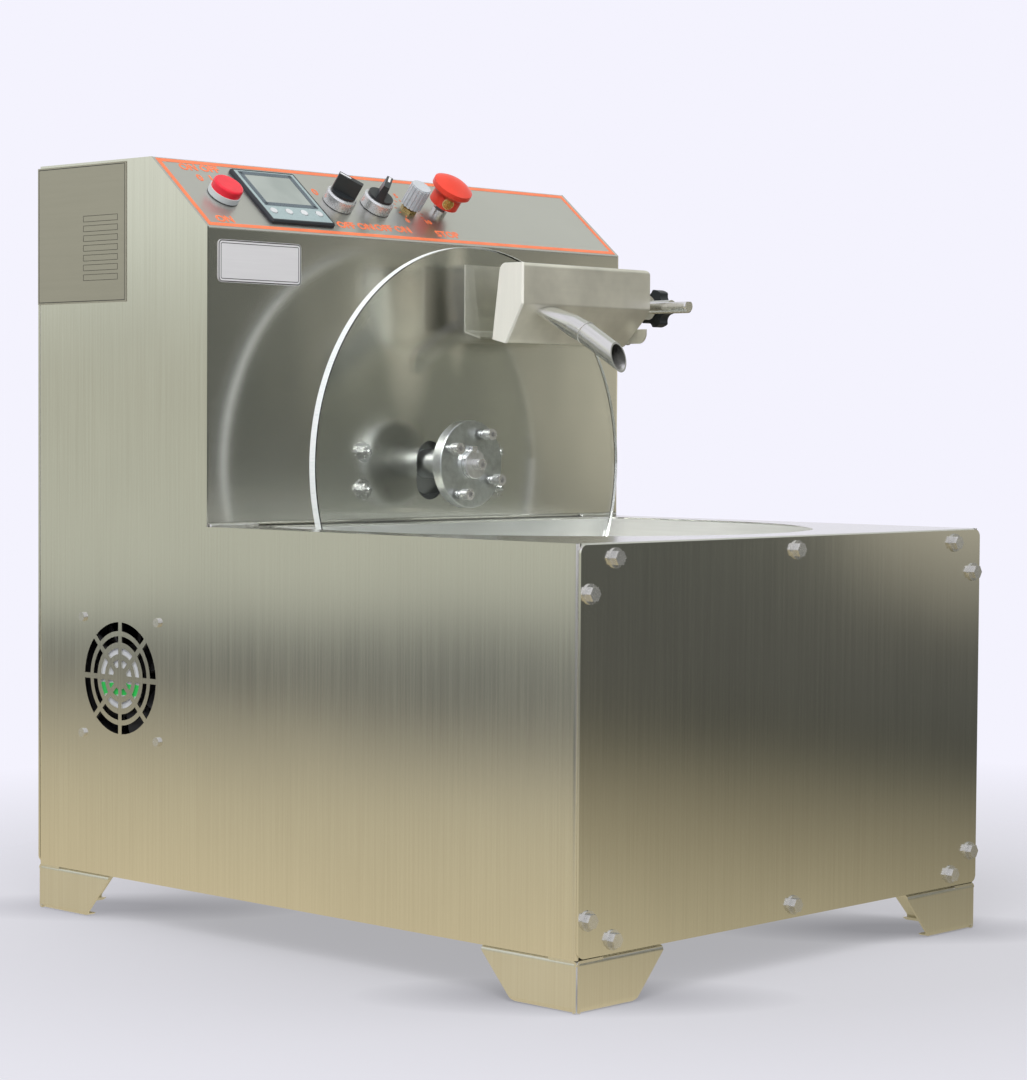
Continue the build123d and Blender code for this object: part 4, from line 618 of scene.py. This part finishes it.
class TEMPER_OT_controls(bpy.types.Operator):
    """Finish the lamp, controller, switches, speed knob and stop, with their pointers and sticker"""

    bl_idname = "temper.controls"
    bl_label = "Controls"

    def execute(self, context):
        look = context.scene.temper_finish
        black = moulded("handle_black", tuple(look.black), 0.38)
        dress(black, "selector_1_handle", "selector_2_handle")
        aluminium = moulded("bezel_aluminium", (0.74, 0.76, 0.75), 0.28, 500.0, 0.03, Metallic=0.7)
        dress(self.gasketed(aluminium, 0.0005), "selector_1_bezel", "selector_2_bezel")
        dress(satin_metal("collar_chrome", (0.86, 0.87, 0.86), 0.24), "estop_collar")
        dress(moulded("speed_knob_grey", (0.62, 0.66, 0.68), 0.32, Metallic=0.2), "speed_knob")
        dress(satin_metal("bush_brass", tuple(look.brass), 0.28), "speed_pot_bush")
        dress(moulded("stop_red", tuple(look.red), 0.34, Specular_IOR_Level=0.4), "estop_head")
        dress(moulded("stem_grey", (0.32, 0.32, 0.32), 0.5), "estop_stem")
        lens = moulded(
            "lens_red", tuple(look.lens), 0.22, 500.0, 0.02, Coat_Weight=0.25, Coat_Roughness=0.1
        )
        dress(lens, "pilot_lens")
        dress(self.gasketed(moulded("bezel_grey", (0.66, 0.72, 0.70), 0.36), 0.0007), "pilot_bezel")
        self.controller()
        white = moulded("pointer_white", (0.82, 0.83, 0.82), 0.45)
        for number, x, turn in zip((1, 2), SELECTOR_PLACES, (45, -45)):
            pointer = start_sheet(f"selector_{number}_pointer", 0.0022, 0.0105, 0.0006, white)
            thicken(0.00015)
            place = PANEL @ Matrix.Translation((x, CONTROL_LINE, 0.0273))
            place = place @ Matrix.Rotation(math.radians(turn), 4, "Z") @ Matrix.Translation((0, 0.0055, 0))
            settle(pointer, place, f"selector_{number}")
        self.sticker()
        return {"FINISHED"}

    def gasketed(self, material, thickness):
        """Adds a dark gasket where a fitting meets the panel."""
        tree = material.node_tree
        base = tree.nodes["Principled BSDF"].inputs["Base Color"]
        rise = axis_of(tree, panel_coordinates(tree, (0, 0, 0)), "Z")
        body = spread(tree, rise, 0.0, 1.0, thickness, thickness + 0.0002)
        tree.links.new(blend_colours(tree, body, (0.03, 0.035, 0.035), base.links[0].from_socket), base)
        return material

    def controller(self):
        """Dark frame, blue-grey face, display window and keys of the temperature controller."""
        case, tree, shader = principled("controller_case", (0.30, 0.36, 0.40), Roughness=0.38)
        local = panel_coordinates(tree, (CONTROLLER_X, CONTROL_LINE, CONTROLLER_FACE))
        reach = add_node(tree, "ShaderNodeVectorMath", {"operation": "ABSOLUTE"})
        tree.links.new(local, reach.inputs[0])
        reach_x = axis_of(tree, reach.outputs[0], "X")
        reach_y = axis_of(tree, reach.outputs[0], "Y")
        face = spread(tree, combine(tree, "MAXIMUM", reach_x, reach_y), 1.0, 0.0, 0.0331, 0.0335)
        skin = noise(tree, placed_coordinates(tree), 500.0, 2.0)
        tone = ramp(tree, skin, ((0.3, (0.31, 0.40, 0.395)), (0.7, (0.36, 0.45, 0.445))))
        tree.links.new(blend_colours(tree, face, (0.022, 0.026, 0.03), tone), shader.inputs["Base Color"])
        bump(tree, shader, skin, 0.04, 0.0002)
        dress(case, "controller_case")
        screen, tree, shader = principled(
            "display_window", (0.33, 0.37, 0.33), Roughness=0.16, Coat_Weight=0.5, Coat_Roughness=0.06
        )
        glow = noise(tree, placed_coordinates(tree), 25.0, 2.0)
        tint = ramp(tree, glow, ((0.3, (0.29, 0.33, 0.30)), (0.7, (0.38, 0.42, 0.38))))
        tree.links.new(tint, shader.inputs["Base Color"])
        dress(screen, "controller_screen")
        keys = [f"controller_button_{i}" for i in range(1, 5)]
        dress(moulded("key_white", (0.66, 0.68, 0.67), 0.4), *keys)
        dark = moulded("window_frame", (0.10, 0.13, 0.15), 0.30)
        ring = start_sheet("controller_window_frame", 0.0600, 0.0470, 0.0012, dark)
        open_middle(0.0045)
        thicken(0.0002)
        place = PANEL @ Matrix.Translation((CONTROLLER_X, CONTROL_LINE + 0.0085, CONTROLLER_FACE))
        settle(ring, place, "cabinet")

    def sticker(self):
        """Gold foil on the stop's skirt."""
        gold = satin_metal("foil_gold", (0.66, 0.50, 0.16), 0.30)
        pale = satin_metal("foil_edge", (0.93, 0.80, 0.42), 0.34)
        free_hands()
        bpy.ops.mesh.primitive_circle_add(vertices=12, radius=0.0054, fill_type="NGON")
        foil = named("stop_foil", gold, pale)
        bpy.ops.object.mode_set(mode="EDIT")
        bpy.ops.mesh.select_mode(type="FACE")
        bpy.ops.mesh.select_all(action="SELECT")
        paint_selected(foil, 1)
        bpy.ops.mesh.inset(thickness=0.0007)
        paint_selected(foil, 0)
        bpy.ops.mesh.poke()
        bpy.ops.mesh.select_all(action="SELECT")
        bpy.ops.mesh.subdivide(number_cuts=3)
        free_hands()
        skirt, towards = 0.01352, math.radians(238)
        for vertex in foil.data.vertices:
            angle = towards + vertex.co.x / skirt
            vertex.co = (skirt * math.cos(angle), skirt * math.sin(angle), vertex.co.y)
        apply_modifier(foil, "SOLIDIFY", thickness=0.0001, offset=1)
        settle(foil, PANEL @ Matrix.Translation((STOP_X, CONTROL_LINE, 0.0172)), "estop_head")


class TEMPER_OT_panel_print(bpy.types.Operator):
    """Print the orange frame, the switch marks and the dial's scale on the sloped panel"""

    bl_idname = "temper.panel_print"
    bl_label = "Panel print"

    def execute(self, context):
        look = context.scene.temper_finish
        trim = context.scene.temper_trim
        ink = moulded("panel_ink", tuple(look.orange), 0.42)
        width = PANEL_WIDTH - 2 * trim.stripe_inset
        height = PANEL_LENGTH - 2 * trim.stripe_inset
        border = start_sheet("panel_border", width, height, 0, ink)
        open_middle(trim.stripe)
        thicken(trim.print_height)
        settle(border, PANEL @ Matrix.Translation((0, PANEL_MIDDLE, 0)), "cabinet")
        words = [
            ("ON", trim.digit, (-0.224, 0.0112)),
            ("ON OFF", trim.digit, (-0.206, 0.0815)),
            ("0  1", trim.digit, (-0.208, 0.0675)),
            ("STOP", trim.digit, (0.034, 0.0130)),
        ]
        for x in SELECTOR_PLACES:
            words.append(("OFF ON", trim.digit, (x, 0.0155)))
            for text, turn in (("0", 135), ("1", 45)):
                words.append((text, trim.digit, around(x, 0.0215, turn)))
        for text, turn in (("0", 232), ("5", 90), ("10", -52)):
            words.append((text, 0.0055, around(SPEED_X, 0.0205, turn)))
        marks = [lettering(text, size, place, trim.print_height, ink) for text, size, place in words]
        for i in range(11):
            turn = 225 - 27 * i
            tick = start_sheet("tick", 0.0030, 0.0008, 0, ink)
            thicken(trim.print_height)
            tick.location = (*around(SPEED_X, 0.0138, turn), 0)
            tick.rotation_euler = (0, 0, math.radians(turn))
            bake_place(tick)
            marks.append(tick)
        settle(joined("panel_marks", marks), PANEL, "cabinet")
        return {"FINISHED"}


class TEMPER_OT_plates(bpy.types.Operator):
    """Model the data plate on the left side and the badge on the riser, both without words"""

    bl_idname = "temper.plates"
    bl_label = "Plates"

    def execute(self, context):
        look = context.scene.temper_finish
        trim = context.scene.temper_trim
        ink = moulded("etched_ink", (0.045, 0.043, 0.038), 0.5)
        champagne = tuple(look.plate)
        dull = tuple(c * 0.95 for c in champagne)
        grain = (300.0, 12.0, 300.0)
        metal = brushed_steel("plate_champagne", champagne, dull, 0.40, grain, metallic=0.4)[0]
        plate = start_sheet("data_plate", trim.plate_width, trim.plate_height, 0, metal, ink)
        self.border(plate, ((0.0012, 0.0007),))
        thicken(-trim.plate_sheet)
        place = LEFT_FACE @ Matrix.Translation((-0.2535, 0.578, trim.plate_sheet))
        settle(plate, place, "cabinet")
        boxes = []
        for i in range(7):
            box = start_sheet("box", 0.046, 0.0052, 0.0006, ink)
            open_middle(0.00035)
            thicken(trim.print_height)
            box.location = (0.026, 0.0125 - 0.0082 * i, 0)
            bake_place(box)
            boxes.append(box)
        settle(joined("data_plate_boxes", boxes), place, "cabinet")
        silver = tuple(look.badge)
        dull = tuple(c * 0.96 for c in silver)
        metal = brushed_steel("badge_silver", silver, dull, 0.40, (12.0, 300.0, 300.0), metallic=0.2)[0]
        badge = start_sheet("riser_badge", trim.badge_width, trim.badge_height, 0.004, metal, ink)
        self.border(badge, ((0.0003, 0.0009), (0.0014, 0.0006)))
        thicken(-trim.plate_sheet)
        place = RISER @ Matrix.Translation((-0.194, 0.551, trim.plate_sheet))
        settle(badge, place, "cabinet")
        return {"FINISHED"}

    def border(self, piece, rings):
        """Insets dark lines, each given by its distance from the last and its width."""
        bpy.ops.mesh.select_mode(type="FACE")
        for gap, width in rings:
            bpy.ops.mesh.inset(thickness=gap)
            paint_selected(piece, 1)
            bpy.ops.mesh.inset(thickness=width)
            paint_selected(piece, 0)


class TEMPER_OT_fan(bpy.types.Operator):
    """Finish the fan, with a plain two-colour label on its motor"""

    bl_idname = "temper.fan"
    bl_label = "Fan"

    def execute(self, context):
        dress(moulded("fan_blade", (0.018, 0.018, 0.019), 0.42), "fan_rotor")
        material, tree, shader = principled("fan_frame", (0.02, 0.02, 0.021), Roughness=0.4)
        local = placed_coordinates(tree, FAN_AXIS)
        radius = distance_from(tree, local)
        disc = spread(tree, radius, 1.0, 0.0, 0.0262, 0.0266)
        label = ramp(
            tree,
            spread(tree, axis_of(tree, local, "Z"), 0.0, 1.0, -0.022, 0.026),
            (
                (0.0, (0.66, 0.68, 0.68)),
                (0.16, (0.66, 0.68, 0.68)),
                (0.17, (0.02, 0.62, 0.10)),
                (0.36, (0.02, 0.62, 0.10)),
                (0.37, (0.70, 0.72, 0.72)),
                (1.0, (0.70, 0.72, 0.72)),
            ),
        )
        tree.links.new(blend_colours(tree, disc, (0.018, 0.018, 0.019), label), shader.inputs["Base Color"])
        skin = noise(tree, placed_coordinates(tree), 700.0, 2.0)
        bump(tree, shader, skin, 0.05, 0.0002)
        dress(material, "fan_frame")
        return {"FINISHED"}


class TEMPER_OT_welds(bpy.types.Operator):
    """Model the weld beads between deck and riser and round the spout's bend"""

    bl_idname = "temper.welds"
    bl_label = "Welds"

    def execute(self, context):
        look = context.scene.temper_finish
        polished = tuple(look.polished)
        shade = tuple(look.steel_shade)
        steel = brushed_steel("weld_bead", polished, shade, 0.34, (90.0, 90.0, 90.0))[0]
        ripple = bpy.data.textures.new("weld_ripple", "CLOUDS")
        ripple.noise_scale = 0.004
        beads = [self.bead(side, steel, ripple) for side in (-1, 1)]
        settle(joined("corner_welds", beads), Matrix.Identity(4), "cabinet")
        free_hands()
        bpy.ops.mesh.primitive_torus_add(
            major_radius=0.0095, minor_radius=0.0006, major_segments=120, minor_segments=10
        )
        ring = named("spout_weld", steel)
        apply_modifier(ring, "DISPLACE", texture=ripple, strength=0.0006)
        bpy.ops.object.shade_smooth()
        place = Matrix.Translation(SPOUT_BEND) @ Matrix.Rotation(SPOUT_TILT, 4, "X")
        settle(ring, place, "scraper")
        return {"FINISHED"}

    def bead(self, side, steel, ripple):
        """A rippled bead in the corner, on the left (-1) or the right (1)."""
        inner, outer = CORNER_ENDS
        free_hands()
        bpy.ops.mesh.primitive_cylinder_add(
            vertices=14, radius=0.0019, depth=outer - inner, rotation=(0, math.pi / 2, 0)
        )
        bead = named("bead", steel)
        bake_place(bead)
        bpy.ops.object.mode_set(mode="EDIT")
        bpy.ops.mesh.select_mode(type="EDGE")
        bpy.ops.mesh.select_all(action="DESELECT")
        mesh = bmesh.from_edit_mesh(bead.data)
        for line in mesh.edges:
            line.select_set(abs((line.verts[0].co - line.verts[1].co).x) > 0.01)
        bmesh.update_edit_mesh(bead.data)
        bpy.ops.mesh.subdivide(number_cuts=48)
        bead.location = (side * (inner + outer) / 2, CORNER_Y, CORNER_Z)
        bake_place(bead)
        apply_modifier(bead, "DISPLACE", texture=ripple, strength=0.0014)
        bpy.ops.object.shade_smooth()
        return bead


class TEMPER_OT_stage(bpy.types.Operator):
    """Set up the floor, backdrop, reflector cards, lamps and camera"""

    bl_idname = "temper.stage"
    bl_label = "Stage"

    def execute(self, context):
        stage = context.scene.temper_stage
        context.scene.view_settings.view_transform = "Standard"
        self.backdrop(context, tuple(stage.backdrop))
        self.floor(tuple(stage.floor), stage.floor_glow)
        self.cards()
        self.lamp("key_lamp", (-2.0, -1.6, 2.6), 1.8, 85.0)
        self.lamp("fill_lamp", (2.2, -2.2, 2.2), 2.4, 36.0)
        self.lamp("rear_lamp", (0.6, 2.4, 2.6), 2.2, 26.0)
        self.camera(context, stage)
        return {"FINISHED"}

    def backdrop(self, context, colour):
        """A pale world: full strength where it is seen directly, mirrored or through glass."""
        world = bpy.data.worlds.new("backdrop")
        context.scene.world = world
        world.use_nodes = True
        tree = world.node_tree
        sky = tree.nodes["Background"]
        sky.inputs["Color"].default_value = (*colour, 1)
        path = add_node(tree, "ShaderNodeLightPath")
        seen = path.outputs["Is Camera Ray"]
        for ray in ("Is Glossy Ray", "Is Transmission Ray"):
            seen = combine(tree, "MAXIMUM", seen, path.outputs[ray])
        tree.links.new(spread(tree, seen, 0.50, 1.0, 0.0, 1.0), sky.inputs["Strength"])

    def floor(self, colour, glow):
        """A pale floor that fades into the backdrop away from the machine, greyer near it as painted shade,
        with painted shadows about the feet.
        """
        free_hands()
        bpy.ops.mesh.primitive_circle_add(
            vertices=96, radius=2.6, fill_type="NGON", location=(0, 0, -0.0006)
        )
        floor = named("floor")
        material, tree, shader = principled("floor_paper", colour, Roughness=0.9, Specular_IOR_Level=0.0)
        # Painted shadow: the floor's colour is darkened to about two thirds in a soft ellipse about each
        # foot.
        tone = colour
        for x, y in FOOT_PLACES:
            reach = patch_reach(
                tree, Location=(x, y, 0), Rotation=(0, 0, math.radians(-46.6)), Scale=(0.17, 0.075, 1.0)
            )
            near = spread(tree, reach, 0.0, 1.0, 0.25, 1.0)
            shaded = blend_colours(tree, 1.0, tone, (0.66, 0.66, 0.67), "MULTIPLY")
            tone = blend_colours(tree, near, shaded, tone)
        for socket in ("Base Color", "Emission Color"):
            tree.links.new(tone, shader.inputs[socket])
        path = add_node(tree, "ShaderNodeLightPath")
        seen = spread(tree, path.outputs["Is Camera Ray"], 0.0, glow, 0.0, 1.0)
        tree.links.new(seen, shader.inputs["Emission Strength"])
        # Painted shade: the floor fades into the backdrop from a middle set towards the front and right, so
        # it stays darker in front of the machine.
        away = distance_from(tree, placed_coordinates(tree, (0.08, -0.10, 0)))
        fade = spread(tree, away, 1.0, 0.0, 0.36, 1.25)
        output = tree.nodes["Material Output"]
        tree.links.new(faded(tree, fade, shader.outputs[0]), output.inputs["Surface"])
        floor.data.materials.append(material)
        floor.visible_glossy = False

    def card(self, name, corners, stops, axis, span, patch=None):
        """A card that only metal sees, shaded from stops along an axis and faded out around a patch."""
        free_hands()
        bpy.ops.mesh.primitive_plane_add(size=2)
        card = named(name)
        for vertex, corner in zip(card.data.vertices, corners):
            vertex.co = corner
        material = bpy.data.materials.new(name)
        material.use_nodes = True
        tree = material.node_tree
        tree.nodes.clear()
        place = placed_coordinates(tree)
        along = axis_of(tree, place, axis)
        glow = add_node(tree, "ShaderNodeEmission")
        tree.links.new(ramp(tree, spread(tree, along, 0.0, 1.0, *span), stops), glow.inputs["Color"])
        path = add_node(tree, "ShaderNodeLightPath")
        mirrored = spread(tree, path.outputs["Diffuse Depth"], 1.0, 0.0, 0.0, 1.0)
        tree.links.new(mirrored, glow.inputs["Strength"])
        surface = glow.outputs[0]
        if patch:
            fade = spread(tree, patch_reach(tree, **patch), 1.0, 0.0, 0.2, 1.0)
            surface = faded(tree, fade, surface)
        output = add_node(tree, "ShaderNodeOutputMaterial")
        tree.links.new(surface, output.inputs["Surface"])
        card.data.materials.append(material)
        for ray in ("camera", "diffuse", "shadow", "volume_scatter"):
            setattr(card, f"visible_{ray}", False)

    def upright_card(self, name, foot, facing, half_width, low, high, stops, span, soft=False):
        """A standing card, given by the middle of its foot, the way to it and half its width."""
        across = Vector((-facing.y, facing.x, 0)) * half_width
        corners = [Vector((p.x, p.y, z)) for z in (low, high) for p in (foot - across, foot + across)]
        patch = {
            "Location": (foot.x, foot.y, (low + high) / 2),
            "Rotation": (0, 0, math.atan2(across.y, across.x)),
            "Scale": (half_width, 1.0, (high - low) / 2),
        }
        self.card(name, corners, stops, "Z", span, patch if soft else None)

    def cards(self):
        """What the steel mirrors: a tan floor, a light and a dark wall, pale strips and a grey sky."""
        self.card(
            "floor_card",
            [Vector((x, y, -0.0003)) for y in (-6, 6) for x in (-6, 6)],
            (
                (0.0, (0.14, 0.147, 0.14)),
                (0.208, (0.13, 0.134, 0.13)),
                (0.285, (0.40, 0.37, 0.28)),
                (0.358, (0.58, 0.515, 0.36)),
                (0.442, (0.70, 0.60, 0.40)),
                (0.513, (0.49, 0.43, 0.285)),
                (0.575, (0.34, 0.30, 0.20)),
                (0.683, (0.125, 0.12, 0.092)),
                (0.733, (0.066, 0.068, 0.060)),
                (0.785, (0.098, 0.099, 0.088)),
                (1.0, (0.098, 0.099, 0.088)),
            ),
            "X",
            (-3.0, 3.0),
        )
        away = Vector((-0.726, 0.687, 0))
        self.upright_card(
            "light_card",
            Vector((-0.25, 0, 0)) + away * 3.0,
            away,
            3.2,
            -0.02,
            2.4,
            (
                (0.0, (0.14, 0.147, 0.14)),
                (0.03, (0.18, 0.19, 0.175)),
                (0.07, (0.54, 0.55, 0.47)),
                (0.15, (0.59, 0.60, 0.51)),
                (0.50, (0.53, 0.53, 0.44)),
                (0.62, (0.57, 0.58, 0.50)),
                (0.75, (0.75, 0.78, 0.69)),
                (1.0, (0.85, 0.87, 0.80)),
            ),
            (0.0, 1.0),
        )
        away = Vector((0.726, -0.687, 0))
        foot = Vector((0, -0.3, 0)) + away * 3.0
        dark = (
            (0.0, (0.095, 0.095, 0.085)),
            (0.2, (0.098, 0.105, 0.092)),
            (0.45, (0.10, 0.108, 0.096)),
            (1.0, (0.42, 0.42, 0.39)),
        )
        self.upright_card("dark_card", foot, away, 3.2, -0.02, 2.4, dark, (0.0, 2.0))
        across = Vector((-away.y, away.x, 0))
        beige = (0.74, 0.69, 0.55)
        strips = (
            (0.064, 0.060, 0.40, 0.90, 2.6),
            (0.162, 0.026, 0.50, 0.88, 2.2),
            (0.63, 0.36, 0.02, 0.96, 1.2),
        )
        for number, (place, half, low, high, level) in enumerate(strips, 1):
            colour = tuple(c * level for c in beige)
            self.upright_card(
                f"strip_card_{number}",
                foot - away * 0.02 + across * place,
                away,
                half,
                low,
                high,
                ((0.0, colour), (1.0, colour)),
                (0.0, 1.0),
                soft=True,
            )
        self.card(
            "high_card",
            [Vector((x, y, 2.45)) for y in (-2.2, 2.6) for x in (0.3, 4.5)],
            ((0.0, (0.58, 0.60, 0.57)), (1.0, (0.66, 0.68, 0.65))),
            "X",
            (0.3, 4.5),
        )

    def lamp(self, name, place, size, power):
        """A square soft lamp aimed at the machine's middle."""
        free_hands()
        bpy.ops.object.light_add(type="AREA", location=place)
        lamp = named(name)
        lamp.data.size = size
        lamp.data.energy = power
        aim = Vector((0, 0, 0.3)) - Vector(place)
        lamp.rotation_euler = aim.to_track_quat("-Z", "Y").to_euler()
        lamp.visible_glossy = False

    def camera(self, context, stage):
        """The photograph's viewpoint."""
        free_hands()
        bpy.ops.object.camera_add()
        camera = named("camera")
        heading, pitch, roll = stage.camera_turn
        forward = Vector(
            (math.sin(heading) * math.cos(pitch), math.cos(heading) * math.cos(pitch), -math.sin(pitch))
        )
        right = Vector((math.cos(heading), -math.sin(heading), 0))
        up = right.cross(forward)
        side = right * math.cos(roll) + up * math.sin(roll)
        top = up * math.cos(roll) - right * math.sin(roll)
        turn = Matrix((side, top, -forward)).transposed().to_4x4()
        camera.matrix_world = Matrix.Translation(stage.camera_place) @ turn
        camera.data.sensor_width = 36.0
        camera.data.lens = stage.lens
        context.scene.camera = camera


class TEMPER_PT_sidebar(bpy.types.Panel):
    """The machine's steps in the 3D view's sidebar"""

    bl_idname = "TEMPER_PT_sidebar"
    bl_label = "Tempering Machine"
    bl_space_type = "VIEW_3D"
    bl_region_type = "UI"
    bl_category = "Tempering"

    def draw(self, context):
        for operator in OPERATORS:
            self.layout.operator(operator.bl_idname)


OPERATORS = (
    TEMPER_OT_cabinet,
    TEMPER_OT_tub,
    TEMPER_OT_wheel,
    TEMPER_OT_scraper,
    TEMPER_OT_controls,
    TEMPER_OT_panel_print,
    TEMPER_OT_plates,
    TEMPER_OT_fan,
    TEMPER_OT_welds,
    TEMPER_OT_stage,
)
GROUPS = {"temper_finish": TemperFinish, "temper_trim": TemperTrim, "temper_stage": TemperStage}


def register():
    for group in GROUPS.values():
        bpy.utils.register_class(group)
    for name, group in GROUPS.items():
        setattr(bpy.types.Scene, name, bpy.props.PointerProperty(type=group))
    for part in (*OPERATORS, TEMPER_PT_sidebar):
        bpy.utils.register_class(part)


def unregister():
    for part in reversed((*OPERATORS, TEMPER_PT_sidebar)):
        bpy.utils.unregister_class(part)
    for name in GROUPS:
        delattr(bpy.types.Scene, name)
    for group in GROUPS.values():
        bpy.utils.unregister_class(group)


def main():
    """Registers the steps and runs every step in order."""
    register()
    for operator in OPERATORS:
        space, step = operator.bl_idname.split(".")
        getattr(getattr(bpy.ops, space), step)()


if __name__ == "__main__":
    main()
